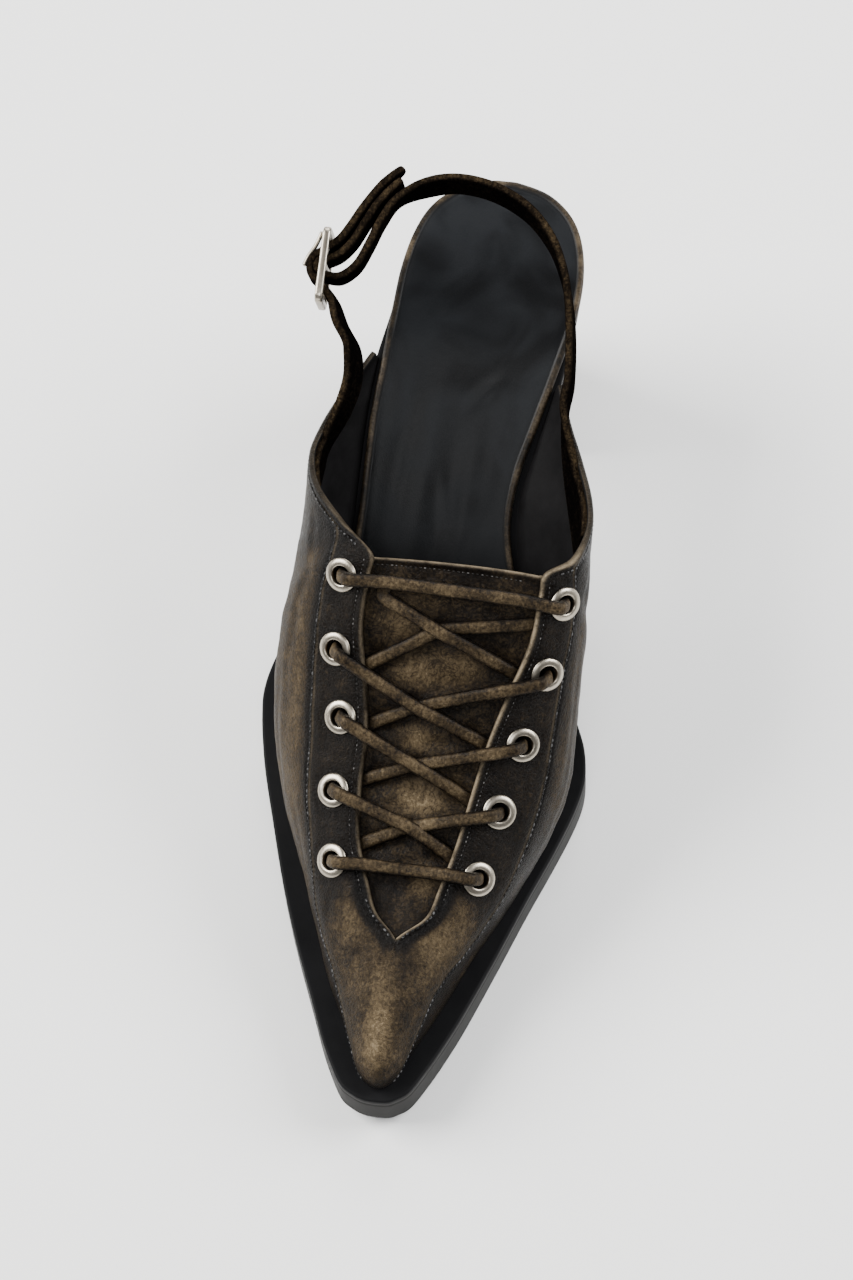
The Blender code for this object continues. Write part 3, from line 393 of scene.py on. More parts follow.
def rounded_loop(width, thick, radius: float, across: int = 6, corner: int = 4) -> FloatArray:
    """Rounded rectangles, one for each width and thickness.

    Args:
        width: Widths, one for each ring.
        thick: Thicknesses, one for each ring.
        radius: Radius of the corners, at most half of the thickness.
        across: Points along each broad side, between corners.
        corner: Points round each corner.

    Returns:
        Array of rings by points by (across, through).
    """
    width = np.asarray(width, dtype=float)[:, None]
    thick = np.asarray(thick, dtype=float)[:, None]
    radius = np.minimum(radius, np.minimum(thick, width) * 0.499)
    turn = np.linspace(0.0, math.pi / 2.0, corner)
    spread = np.linspace(1.0, -1.0, across + 2)[1:-1]
    flat_x, flat_y, round_x, round_y = [], [], [], []
    for quarter, (sx, sy) in enumerate(((1, 1), (-1, 1), (-1, -1), (1, -1))):
        angle = turn + quarter * math.pi / 2.0
        flat_x.append(np.full(corner, float(sx)))
        flat_y.append(np.full(corner, float(sy)))
        round_x.append(np.cos(angle))
        round_y.append(np.sin(angle))
        if quarter in (0, 2):
            flat_x.append(spread * sx)
            flat_y.append(np.full(across, float(sy)))
            round_x.append(np.zeros(across))
            round_y.append(np.full(across, float(sy)))
    flat_x, flat_y = np.concatenate(flat_x), np.concatenate(flat_y)
    round_x, round_y = np.concatenate(round_x), np.concatenate(round_y)
    x = flat_x * (width / 2.0 - radius) + round_x * radius
    y = flat_y * (thick / 2.0 - radius) + round_y * radius
    return np.stack([x, y], axis=-1)


# The last


class Last:
    """Shape that all pieces share: foot bed, underside and the ribs of the upper."""

    def __init__(self, sizes: Sizes) -> None:
        self.sizes = sizes
        self._ribs = {side: self._rib_table(side) for side in Side}

    @staticmethod
    def _rib_table(side: Side) -> FloatArray:
        toe = np.array(TOE_RIBS)
        if side is Side.MEDIAL:
            toe[:, :2] = TOE_RIBS_MEDIAL_FOOT
        beyond = toe[1].copy()
        beyond[[0, 2]] = 2.0 * toe[0, 0] - beyond[[0, 2]]
        beyond[5] = 180.0 - beyond[5]
        side_rows = np.array(MEDIAL_RIBS if side is Side.MEDIAL else LATERAL_RIBS)
        return np.concatenate([beyond[None], toe, side_rows])

    @property
    def end(self) -> float:
        """Station of the last rib, where the collar meets the insole."""
        return len(self._ribs[Side.LATERAL]) - 2.0

    def place(self, points: FloatArray) -> FloatArray:
        """Row-frame coordinates in metres of (x, a, z) points in millimetres."""
        shift = np.array([self.sizes.side_shift, -self.sizes.length / 2.0, 0.0])
        return (np.asarray(points, dtype=float) + shift) * MM

    @staticmethod
    def _height(table, a) -> FloatArray:
        along, height = np.array(table).T
        a = np.clip(np.asarray(a, dtype=float), along[0], along[-1])
        steps = np.diff(height) / np.diff(along)
        slopes = np.zeros(len(along))
        slopes[0], slopes[-1] = steps[0], steps[-1]
        rising = steps[:-1] * steps[1:] > 0.0
        mean = 2.0 * steps[:-1] * steps[1:] / (steps[:-1] + steps[1:] + 1e-12)
        slopes[1:-1] = np.where(rising, mean, 0.0)
        start = np.clip(np.searchsorted(along, a, side="right") - 1, 0, len(along) - 2)
        span = along[start + 1] - along[start]
        t = (a - along[start]) / span
        return (
            (1.0 + 2.0 * t) * (1.0 - t) ** 2 * height[start]
            + t * (1.0 - t) ** 2 * span * slopes[start]
            + t**2 * (3.0 - 2.0 * t) * height[start + 1]
            + t**2 * (t - 1.0) * span * slopes[start + 1]
        )

    def bed(self, a) -> FloatArray:
        """Height of the insole's top."""
        return self._height(BED, a)

    def sole_top(self, a) -> FloatArray:
        """Height of the outsole's top."""
        return self.bed(a) - self.sizes.sole_drop

    def underside(self, a) -> FloatArray:
        """Height of the outsole's underside."""
        return self._height(UNDERSIDE, a)

    def ribs(self, side: Side, stations, shares) -> FloatArray:
        """Points of the upper's outer face.

        Args:
            side: Half of the shoe.
            stations: Stations along the foot, toe first.
            shares: Shares up the ribs, the same for all stations or a row for each.

        Returns:
            Array of stations by shares by (x, a, z).
        """
        rows = smooth(self._ribs[side], np.asarray(stations, dtype=float) + 1.0)
        foot_x, foot_a, top_x, top_a, top_z, heading, belly, rise, reach, dip = rows.T
        turn = np.radians(heading)
        outward = np.stack([side.value * np.cos(turn), -np.sin(turn), np.zeros_like(turn)], axis=1)
        up = np.array([0.0, 0.0, 1.0])
        foot = np.stack([foot_x, foot_a, self.sole_top(foot_a) + self.sizes.gap], axis=1)
        top = np.stack([top_x, top_a, top_z], axis=1)
        low = foot + outward * belly[:, None] + up * rise[:, None]
        high = top + outward * reach[:, None] - up * dip[:, None]
        s = np.asarray(shares, dtype=float)
        if s.ndim == 1:
            s = np.broadcast_to(s, (len(rows), len(s)))
        s = s[:, :, None]
        return (
            foot[:, None] * (1.0 - s) ** 3
            + low[:, None] * 3.0 * s * (1.0 - s) ** 2
            + high[:, None] * 3.0 * s**2 * (1.0 - s)
            + top[:, None] * s**3
        )

    def normals(self, side: Side, stations, shares) -> FloatArray:
        """Outward normals of the same points."""
        stations = np.asarray(stations, dtype=float)
        shares = np.asarray(shares, dtype=float)
        if shares.ndim == 1:
            shares = np.broadcast_to(shares, (len(stations), len(shares)))
        here = np.clip(stations, 0.02, self.end - 0.02)
        inside = np.clip(shares, 0.01, 0.99)
        along = self.ribs(side, here + 0.02, inside) - self.ribs(side, here - 0.02, inside)
        across = self.ribs(side, here, inside + 0.01) - self.ribs(side, here, inside - 0.01)
        normals = unit(np.cross(along, across)) * side.value
        foot = inside[..., None] < 0.011
        return unit(np.where(foot, normals * np.array([1.0, 1.0, 0.0]), normals))

    def seam(self, side: Side, stations) -> FloatArray:
        """Share up each rib at which the long seam crosses it."""
        shares = np.array(SEAM_SHARES)[:, 0 if side is Side.LATERAL else 1]
        return np.clip(smooth(shares[:, None], stations)[:, 0], 0.0, 1.0)

    def station_at(self, a: float) -> float:
        """Station whose slot edge lies at a distance a back from the toe."""
        top_a = self._ribs[Side.LATERAL][1: self.sizes.throat_station + 2, 3]
        return float(np.interp(a, top_a, np.arange(float(len(top_a)))))

    def over_slot(self, station: float, shares) -> FloatArray:
        """Points of the crown that carries the upper's face across the slot."""
        left = self.ribs(Side.LATERAL, [station], [0.9, 1.0])[0]
        right = self.ribs(Side.MEDIAL, [station], [0.9, 1.0])[0]
        chord = np.linalg.norm(right[1] - left[1])
        flatten = np.array([1.0, 1.0, self.sizes.slot_crown])
        pull = unit(left[1] - left[0]) * flatten * chord / 3.0
        push = unit(right[1] - right[0]) * flatten * chord / 3.0
        t = np.asarray(shares, dtype=float)[:, None]
        return (
            left[1] * (1 - t) ** 3
            + (left[1] + pull) * 3 * t * (1 - t) ** 2
            + (right[1] + push) * 3 * t**2 * (1 - t)
            + right[1] * t**3
        )

    def face(self, x: float, a: float) -> tuple[float, FloatArray]:
        """Height and upward normal of the upper's unraised face over a place seen from above."""

        def height(px: float, pa: float) -> float:
            station = self.station_at(pa)
            profile = np.concatenate([
                self.ribs(Side.LATERAL, [station], np.linspace(0.25, 1.0, 40))[0],
                self.over_slot(station, np.linspace(0.05, 0.95, 19)),
                self.ribs(Side.MEDIAL, [station], np.linspace(1.0, 0.25, 40))[0],
            ])
            keep = np.concatenate([[True], np.diff(profile[:, 0]) > 1e-6])
            return float(np.interp(px, profile[keep, 0], profile[keep, 2]))

        step = 0.8
        slope_x = (height(x + step, a) - height(x - step, a)) / (2.0 * step)
        slope_a = (height(x, a + step) - height(x, a - step)) / (2.0 * step)
        return height(x, a), unit(np.array([-slope_x, -slope_a, 1.0]))

    def lifted(self, x: float, a: float, lift: float) -> FloatArray:
        """Place over the upper at a distance lift from its unraised face, and its normal."""
        z, normal = self.face(x, a)
        return np.concatenate([np.array([x, a, z]) + normal * lift, normal])

    def eyelets(self) -> list[tuple[float, float]]:
        """Places (x, a) of the ten eyelets."""
        return [spot for row in EYELETS for spot in (row[:2], row[2:])]

    def buckle_spot(self, along, outward, up) -> FloatArray:
        """Points in the buckle's own directions: along the strap, outward and up across it."""
        pitch = math.radians(self.sizes.buckle_pitch)
        along, outward, up = (np.asarray(v, dtype=float) for v in (along, outward, up))
        offset = np.stack(np.broadcast_arrays(
            -outward,
            along * math.cos(pitch) - up * math.sin(pitch),
            along * math.sin(pitch) + up * math.cos(pitch),
        ), axis=-1)
        return np.array(self.sizes.buckle_centre) + offset


# Meshes


@dataclass
class Skin:
    """Points, faces and painted values of one mesh while it is put together, in millimetres."""

    points: list[FloatArray] = field(default_factory=list)
    faces: list[list[tuple[int, ...]]] = field(default_factory=list)
    slots: list[int] = field(default_factory=list)
    values: list[dict[str, FloatArray]] = field(default_factory=list)
    count: int = 0

    def add(self, points: FloatArray, faces, slot: int = 0, **values: FloatArray) -> int:
        """Add a block of points and faces.

        Args:
            points: Points, any shape with (x, a, z) last.
            faces: Corner indices within the block.
            slot: Material slot of these faces.
            **values: Painted values from 0 to 1, one for each point or one for all.

        Returns:
            Index of the block's first point in the mesh.
        """
        flat = np.asarray(points, dtype=float).reshape(-1, 3)
        base = self.count
        self.points.append(flat)
        self.values.append({
            name: np.broadcast_to(np.asarray(value, dtype=float).reshape(-1), (len(flat),))
            if np.size(value) == 1 else np.asarray(value, dtype=float).reshape(-1)
            for name, value in values.items()
        })
        self.count += len(flat)
        self.join(faces, base, slot)
        return base

    def join(self, faces, base: int = 0, slot: int = 0) -> None:
        """Add faces over points that are already there."""
        rows = (np.asarray(faces) + base).tolist() if isinstance(faces, np.ndarray) else [
            [int(v) + base for v in face] for face in faces
        ]
        self.faces.append(rows)
        self.slots.extend([slot] * len(rows))

    def build(self, name: str, last: Last, materials: list[bpy.types.Material]) -> bpy.types.Object:
        """Make the mesh object, closed seams merged and faces outward.

        Args:
            name: Object's name.
            last: Last whose frame the points are in.
            materials: Materials in slot order.

        Returns:
            The object, at the origin.
        """
        mesh = bpy.data.meshes.new(name)
        points = last.place(np.concatenate(self.points))
        mesh.from_pydata(points.tolist(), [], [face for block in self.faces for face in block])
        mesh.polygons.foreach_set("material_index", np.array(self.slots, dtype=np.int32))
        names = sorted({key for block in self.values for key in block})
        for key in names:
            layer = mesh.attributes.new(key, "FLOAT", "POINT")
            data = [
                block.get(key, np.zeros(len(pts))) for block, pts in zip(self.values, self.points)
            ]
            layer.data.foreach_set("value", np.concatenate(data).astype(np.float32))
        work = bmesh.new()
        work.from_mesh(mesh)
        bmesh.ops.remove_doubles(work, verts=work.verts, dist=2e-6)
        bmesh.ops.dissolve_degenerate(work, edges=work.edges, dist=1e-7)
        bmesh.ops.recalc_face_normals(work, faces=work.faces)
        if work.calc_volume(signed=True) < 0.0:
            bmesh.ops.reverse_faces(work, faces=work.faces)
        work.to_mesh(mesh)
        work.free()
        mesh.polygons.foreach_set("use_smooth", np.full(len(mesh.polygons), True))
        for material in materials:
            mesh.materials.append(material)
        piece = bpy.data.objects.new(name, mesh)
        bpy.context.scene.collection.objects.link(piece)
        log.info("%s: %d faces", name, len(mesh.polygons))
        return piece


def install(piece: bpy.types.Object, slot: Piece, *nodes: str) -> None:
    """Let a piece ride on the row's root, in place of its CAD nodes."""
    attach(piece, "root")
    if nodes:
        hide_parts(*nodes)


def sweep(skin: Skin, path: FloatArray, up: FloatArray, width, thick, radius: float,
          across: int = 6, corner: int = 4, cap: float = 0.5, **values) -> None:
    """Add a closed body of rounded section along a path, with rounded ends.

    Args:
        skin: Mesh to add it to.
        path: Points of the centre line.
        up: Directions through the thickness, one for each point.
        width: Width at each point, or one for all.
        thick: Thickness at each point, or one for all.
        radius: Corner radius of the section.
        across: Points along each broad side.
        corner: Points round each corner.
        cap: How far the ends are rounded out.
        **values: Painted values, one for each path point or one for all.
    """
    width = np.broadcast_to(np.asarray(width, dtype=float), (len(path),))
    thick = np.broadcast_to(np.asarray(thick, dtype=float), (len(path),))
    along = unit(np.gradient(path, axis=0))
    up = unit(up - along * (up * along).sum(axis=1, keepdims=True))
    side = np.cross(along, up)
    turns = np.array([0.35, 0.75, 1.0]) * math.pi / 2.0
    grow = np.cos(turns)
    reach = np.sin(turns) * cap
    heads = [path[0] - along[0] * reach[k] for k in (2, 1, 0)]
    tails = [path[-1] + along[-1] * reach[k] for k in (0, 1, 2)]
    scale = np.concatenate([grow[::-1], np.ones(len(path)), grow])
    scale = np.maximum(scale, 0.04)

    def extend(array: FloatArray) -> FloatArray:
        return np.concatenate([np.repeat(array[:1], 3, axis=0), array, np.repeat(array[-1:], 3, axis=0)])

    centre = np.concatenate([heads, path, tails])
    side, up, width, thick = extend(side), extend(up), extend(width), extend(thick)
    loop = rounded_loop(width, thick, radius, across, corner)
    flat = thick - (1.0 - scale) * np.minimum(thick, width)
    narrow = width - (1.0 - scale) * np.minimum(thick, width)
    loop = loop * np.stack([narrow / width, flat / thick], axis=-1)[:, None, :]
    points = centre[:, None] + side[:, None] * loop[..., :1] + up[:, None] * loop[..., 1:]
    rows, columns = points.shape[:2]
    faces = grid_faces(rows, columns, wrap=True)
    spread = {
        name: np.repeat(extend(np.broadcast_to(np.asarray(value, dtype=float), (len(path),)))[:, None],
                        columns, axis=1)
        for name, value in values.items()
    }
    # top and rim mark each swept piece's upper side and the edges of its width; the rubbed leathers lighten
    # them as painted highlight, partly rubbed.
    spread["top"] = ramp(0.1, 1.0, loop[..., 1] / (thick[:, None] / 2.0))
    rim = np.abs(loop[..., 0]) / (width[:, None] / 2.0)
    spread["rim"] = np.clip((rim - 0.8) / 0.2, 0.0, 1.0)
    base = skin.add(points, faces, **spread)
    skin.join([list(range(columns)), [(rows - 1) * columns + j for j in range(columns)]], base)


# Finishes


class Nodes:
    """Short way to write a material's node tree."""

    def __init__(self, name: str) -> None:
        self.material = bpy.data.materials.new(name)
        self.material.use_nodes = True
        self.tree = self.material.node_tree
        self.shader = self.tree.nodes["Principled BSDF"]
        self._object = None

    def node(self, kind: str, inputs: dict | None = None, **settings) -> bpy.types.Node:
        """Add a node, set its properties and its input values or links."""
        new = self.tree.nodes.new(kind)
        for key, value in settings.items():
            setattr(new, key, value)
        for key, value in (inputs or {}).items():
            self.feed(new.inputs[key], value)
        return new

    def feed(self, socket: bpy.types.NodeSocket, value) -> None:
        """Link an output to a socket, or set its value."""
        if isinstance(value, bpy.types.NodeSocket):
            self.tree.links.new(value, socket)
        else:
            socket.default_value = value

    def here(self) -> bpy.types.NodeSocket:
        """Object coordinates, in metres of the row frame."""
        if self._object is None:
            self._object = self.node("ShaderNodeTexCoord").outputs["Object"]
        return self._object

    def stretched(self, scale: tuple[float, float, float]) -> bpy.types.NodeSocket:
        """Object coordinates scaled by axis."""
        return self.node("ShaderNodeMapping", {"Vector": self.here(), "Scale": scale}).outputs["Vector"]

    def noise(self, scale: float, detail: float = 3.0, rough: float = 0.55, distortion: float = 0.0,
              vector=None) -> bpy.types.NodeSocket:
        """Noise about 0.5, its scale in waves a metre."""
        return self.node("ShaderNodeTexNoise", {
            "Vector": vector or self.here(), "Scale": scale, "Detail": detail,
            "Roughness": rough, "Distortion": distortion,
        }).outputs["Fac"]

    def painted(self, name: str) -> bpy.types.NodeSocket:
        """Painted value of the mesh."""
        return self.node("ShaderNodeAttribute", attribute_name=name).outputs["Fac"]

    def math(self, operation: str, *values, clamp: bool = False) -> bpy.types.NodeSocket:
        """Arithmetic on sockets and numbers."""
        new = self.node("ShaderNodeMath", operation=operation, use_clamp=clamp)
        for socket, value in zip(new.inputs, values):
            self.feed(socket, value)
        return new.outputs[0]

    def total(self, first, *rest) -> bpy.types.NodeSocket:
        """Sum of several sockets."""
        for value in rest:
            first = self.math("ADD", first, value)
        return first

    def scaled(self, socket, factor: float, middle: float = 0.0) -> bpy.types.NodeSocket:
        """(socket - middle) * factor."""
        return self.math("MULTIPLY_ADD", socket, factor, -middle * factor)

    def fit(self, socket, low: float, high: float, to_low: float = 0.0,
            to_high: float = 1.0) -> bpy.types.NodeSocket:
        """Map a range onto another, clamped."""
        return self.node("ShaderNodeMapRange", {
            "Value": socket, "From Min": low, "From Max": high, "To Min": to_low, "To Max": to_high,
        }).outputs["Result"]

    def colours(self, socket, stops) -> bpy.types.NodeSocket:
        """Colour ramp from (position, colour) stops."""
        ramp_node = self.node("ShaderNodeValToRGB", {"Fac": socket})
        elements = ramp_node.color_ramp.elements
        while len(elements) < len(stops):
            elements.new(0.5)
        for element, (position, colour) in zip(elements, stops):
            element.position = position
            element.color = (*colour, 1.0)
        return ramp_node.outputs["Color"]

    def mix(self, factor, first, second) -> bpy.types.NodeSocket:
        """Mix two colours."""
        new = self.node("ShaderNodeMix", data_type="RGBA")
        self.feed(new.inputs[0], factor)
        for socket, value in ((new.inputs[6], first), (new.inputs[7], second)):
            self.feed(socket, (*value, 1.0) if isinstance(value, tuple) and len(value) == 3 else value)
        return new.outputs[2]

    def bump(self, height, strength: float, distance: float, normal=None) -> bpy.types.NodeSocket:
        """Bump from a height, distance in metres."""
        inputs = {"Height": height, "Strength": strength, "Distance": distance}
        if normal is not None:
            inputs["Normal"] = normal
        return self.node("ShaderNodeBump", inputs).outputs["Normal"]

    def surface(self, **values) -> bpy.types.Material:
        """Feed the shader's inputs, underscores for spaces, and return the material."""
        for key, value in values.items():
            if isinstance(value, tuple) and len(value) == 3 and key != "Normal":
                value = (*value, 1.0)
            self.feed(self.shader.inputs[key.replace("_", " ")], value)
        return self.material


@dataclass(frozen=True)
class RubbedLeather:
    """Black leather rubbed through to bronze and tan.

    The mesh paints tone (how far it is rubbed; the patch along the lateral quarter's outer curve is
    painted sheen and the one on the toe's ridge partly painted highlight), shade (painted shade in the
    seam grooves, where the upper meets the sole, round the eyelets, under the slot edges and laces and
    on the laces' pressed ends, with the dark seam borders) and edge (how far a folded edge is rubbed
    through, with a thin painted highlight beside the long seams). Swept pieces also paint top and rim,
    which ridge and rim lighten: partly rubbed, partly painted highlight.
    """

    name: str
    patch: float = 0.34
    speckle: float = 0.46
    streak: float = 0.2
    streak_scale: tuple[float, float, float] = (420.0, 55.0, 160.0)
    grain: float = 0.7
    wrinkle: float = 0.35
    crackle: float = 0.12
    gloss: float = 0.07
    # ridge and rim lighten the painted top and width edges of swept pieces: partly rubbed, partly painted
    # highlight on lace tops and strap edges.
    ridge: float = 0.0
    rim: float = 0.0
    black: tuple[float, float, float] = (0.0012, 0.0010, 0.0010)
    umber: tuple[float, float, float] = (0.0072, 0.0052, 0.0036)
    brown: tuple[float, float, float] = (0.030, 0.0208, 0.0112)
    khaki: tuple[float, float, float] = (0.086, 0.062, 0.034)
    tan: tuple[float, float, float] = (0.20, 0.152, 0.092)
    bare_and_highlight: tuple[float, float, float] = (0.26, 0.205, 0.135)

    def make(self) -> bpy.types.Material:
        """Build the material."""
        n = Nodes(self.name)
        large = n.noise(62.0, 4.0, 0.6, 0.8)
        middle = n.noise(210.0, 4.0, 0.6, 0.4)
        fine = n.noise(1250.0, 3.0, 0.75)
        scratches = n.noise(1.0, 4.0, 0.7, 0.5, n.stretched((900.0, 380.0, 700.0)))
        streaks = n.noise(1.0, 4.0, 0.62, 0.3, n.stretched(self.streak_scale))
        lines = n.noise(260.0, 5.0, 0.6, 1.6)
        crackle = n.fit(n.math("ABSOLUTE", n.math("SUBTRACT", lines, 0.5)), 0.0, 0.055)
        tone = n.total(
            n.painted("tone"),
            n.scaled(large, self.patch, 0.5),
            n.scaled(middle, self.patch * 0.8, 0.5),
            n.scaled(streaks, self.streak, 0.5),
            n.scaled(fine, self.speckle * 1.3, 0.5),
            n.scaled(scratches, self.speckle * 1.2, 0.5),
            n.scaled(crackle, self.crackle, 1.0),
            # Painted highlight, partly rubbed, on the tops of laces and the edges of straps.
            n.scaled(n.painted("top"), self.ridge),
            n.scaled(n.painted("rim"), self.rim),
        )
        # Painted shade from the mesh's shade value darkens the colour.
        shade = n.math("MULTIPLY", n.painted("shade"), n.fit(middle, 0.3, 0.6, 0.75, 1.0))
        tone = n.math("MULTIPLY", tone, n.math("SUBTRACT", 1.0, shade, clamp=True), clamp=True)
        colour = n.colours(tone, (
            (0.0, self.black), (0.28, self.umber), (0.5, self.brown), (0.76, self.khaki),
            (1.0, self.tan),
        ))
        # Mixes in the light edge colour by the painted edge: rubbed edges, and a painted highlight beside the
        # long seams.
        wear_and_highlight = n.math("MULTIPLY", n.painted("edge"), n.fit(n.total(middle, n.scaled(fine, 0.5, 0.5)),
                                                          0.3, 0.6, 0.25, 1.0), clamp=True)
        colour = n.mix(wear_and_highlight, colour, self.bare_and_highlight)
        cells = n.node("ShaderNodeTexVoronoi", {
            "Vector": n.here(), "Scale": 980.0, "Randomness": 1.0,
        }, feature="DISTANCE_TO_EDGE").outputs["Distance"]
        pebble = n.fit(cells, 0.0, 0.18)
        folds = n.noise(1.0, 5.0, 0.68, 1.2, n.stretched((420.0, 900.0, 520.0)))
        height = n.total(n.scaled(pebble, 0.5), n.scaled(fine, 0.6), n.scaled(folds, 0.9),
                         n.scaled(crackle, 2.5 * self.crackle))
        normal = n.bump(height, self.grain, 0.0003)
        normal = n.bump(n.noise(330.0, 3.0, 0.6, 0.6), self.wrinkle * 0.35, 0.0008, normal)
        rough = n.fit(n.total(tone, n.scaled(fine, 0.7, 0.5)), 0.0, 0.9, 0.30, 0.56)
        return n.surface(
            Base_Color=colour, Roughness=rough, Normal=normal, Specular_IOR_Level=self.gloss,
        )


@dataclass(frozen=True)
class SockLeather:
    """Smooth black leather of the insole, its painted binding rubbed to bronze and its painted shade
    darkened.
    """

    name: str = "black sock leather"
    black: tuple[float, float, float] = (0.0018, 0.0020, 0.0024)
    bronze: tuple[float, float, float] = (0.024, 0.0175, 0.011)

    def make(self) -> bpy.types.Material:
        """Build the material."""
        n = Nodes(self.name)
        cloud = n.noise(38.0, 3.0, 0.5, 0.6)
        fine = n.noise(1300.0, 3.0, 0.7)
        black = n.mix(n.fit(cloud, 0.38, 0.62), self.black, (0.0075, 0.0084, 0.0098))
        bronze = n.colours(n.total(n.noise(90.0, 3.0, 0.6), n.scaled(fine, 0.5, 0.5)), (
            (0.34, (0.006, 0.005, 0.004)), (0.50, self.bronze), (0.72, (0.085, 0.064, 0.040)),
        ))
        colour = n.mix(n.painted("edge"), black, bronze)
        # Painted shade from the mesh's shade value, deep in the shoe and beside the binding.
        colour = n.mix(n.scaled(n.painted("shade"), 0.85), colour, (0.0025, 0.0025, 0.0028))
        cells = n.node("ShaderNodeTexVoronoi", {"Vector": n.here(), "Scale": 1500.0},
                       feature="DISTANCE_TO_EDGE").outputs["Distance"]
        height = n.total(n.scaled(n.fit(cells, 0.0, 0.2), 0.5), n.scaled(fine, 0.5))
        normal = n.bump(height, 0.12, 0.0002)
        return n.surface(
            Base_Color=colour, Normal=normal, Specular_IOR_Level=0.13,
            Roughness=n.fit(n.total(cloud, n.scaled(fine, 0.2, 0.5)), 0.3, 0.7, 0.34, 0.46),
        )


@dataclass(frozen=True)
class SoleRubber:
    """Matt black rubber, its painted sides a little lighter."""

    name: str = "black rubber"
    black: tuple[float, float, float] = (0.0042, 0.0042, 0.0046)
    side: tuple[float, float, float] = (0.020, 0.0195, 0.019)

    def make(self) -> bpy.types.Material:
        """Build the material."""
        n = Nodes(self.name)
        cloud = n.noise(90.0, 4.0, 0.6)
        fine = n.noise(1900.0, 2.0, 0.6)
        side = n.mix(n.fit(cloud, 0.3, 0.7), self.side, (0.028, 0.027, 0.026))
        colour = n.mix(n.painted("edge"), n.mix(n.fit(cloud, 0.3, 0.7), self.black, (0.0062, 0.0062, 0.0066)),
                       side)
        normal = n.bump(fine, 0.1, 0.0002)
        return n.surface(Base_Color=colour, Roughness=n.fit(cloud, 0.3, 0.7, 0.5, 0.62),
                         Normal=normal, Specular_IOR_Level=0.06)


@dataclass(frozen=True)
class PlainLeather:
    """Even dark leather, for the lining and the heel's cover."""

    name: str
    colour: tuple[float, float, float] = (0.0045, 0.0043, 0.0045)
    rough: float = 0.6
    grain: float = 0.15

    def make(self) -> bpy.types.Material:
        """Build the material."""
        n = Nodes(self.name)
        cloud = n.noise(120.0, 4.0, 0.6)
        fine = n.noise(1400.0, 3.0, 0.7)
        second = tuple(1.7 * c for c in self.colour)
        colour = n.mix(n.fit(n.total(cloud, n.scaled(fine, 0.2, 0.5)), 0.35, 0.7), self.colour, second)
        return n.surface(Base_Color=colour, Roughness=n.fit(cloud, 0.3, 0.7, self.rough - 0.06,
                                                            self.rough + 0.06),
                         Normal=n.bump(fine, self.grain, 0.0002), Specular_IOR_Level=0.05)


@dataclass(frozen=True)
class SatinNickel:
    """Satin nickel with fine scratches."""

    name: str = "satin nickel"
    colour: tuple[float, float, float] = (0.40, 0.36, 0.295)

    def make(self) -> bpy.types.Material:
        """Build the material."""
        n = Nodes(self.name)
        cloud = n.noise(260.0, 3.0, 0.6)
        scratch = n.noise(1.0, 3.0, 0.7, 0.0, n.stretched((5200.0, 700.0, 2400.0)))
        colour = n.mix(n.fit(cloud, 0.35, 0.75), self.colour, (0.26, 0.23, 0.185))
        return n.surface(
            Base_Color=colour, Metallic=1.0, Roughness=n.fit(scratch, 0.3, 0.7, 0.26, 0.38),
            Normal=n.bump(scratch, 0.05, 0.00008),
        )


@dataclass(frozen=True)
class Thread:
    """Waxed sewing thread, speckled with painted glints."""

    name: str
    colour: tuple[float, float, float] = (0.0022, 0.0020, 0.0020)
    glint_from: float = 0.56

    def make(self) -> bpy.types.Material:
        """Build the material."""
        n = Nodes(self.name)
        # Light specks over the thread are painted glints.
        mask = n.fit(n.noise(700.0, 2.0, 0.6), self.glint_from, self.glint_from + 0.06)
        light = tuple(min(4.0 * c + 0.07, 0.6) for c in self.colour)
        return n.surface(Base_Color=n.mix(mask, self.colour, light), Roughness=0.5,
                         Specular_IOR_Level=0.2)


# Upper


@dataclass(frozen=True)
class Patch:
    """Soft patch of rubbed (positive) or dark (negative) leather seen from above; some positive ones are
    painted highlight and sheen.
    """

    x: float
    a: float
    across: float
    along: float
    amount: float
    turn: float = 0.0

    def over(self, points: FloatArray) -> FloatArray:
        """Amount at each point."""
        turn = math.radians(self.turn)
        dx, da = points[..., 0] - self.x, points[..., 1] - self.a
        u = dx * math.cos(turn) + da * math.sin(turn)
        v = -dx * math.sin(turn) + da * math.cos(turn)
        return self.amount * np.exp(-((u / self.across) ** 2) - (v / self.along) ** 2)


@dataclass(frozen=True)
class Crease:
    """Soft trough between two ridges along a line of (station, share) places on one side."""

    side: Side
    spots: tuple[tuple[float, float], ...]
    depth: float
    width: float

    def over(self, last: Last, points: FloatArray) -> FloatArray:
        """Offset along the normal at each point, troughs negative."""
        places = smooth(self.spots, np.linspace(0.0, len(self.spots) - 1.0, 24))
        line = last.ribs(self.side, places[:, 0], places[:, 1:2])[:, 0]
        best = np.full(points.shape[:-1], 1e9)
        share = np.zeros(points.shape[:-1])
        for k in range(len(line) - 1):
            step = line[k + 1] - line[k]
            t = np.clip(((points - line[k]) @ step) / (step @ step + 1e-9), 0.0, 1.0)
            gap = np.linalg.norm(points - line[k] - t[..., None] * step, axis=-1)
            closer = gap < best
            best = np.where(closer, gap, best)
            share = np.where(closer, (k + t) / (len(line) - 1.0), share)
        taper = np.sin(np.clip(share, 0.0, 1.0) * math.pi) ** 0.7
        trough = bell(best, 0.0, self.width)
        ridge = bell(best, 2.1 * self.width, 1.1 * self.width)
        return self.depth * taper * (0.4 * ridge - trough)


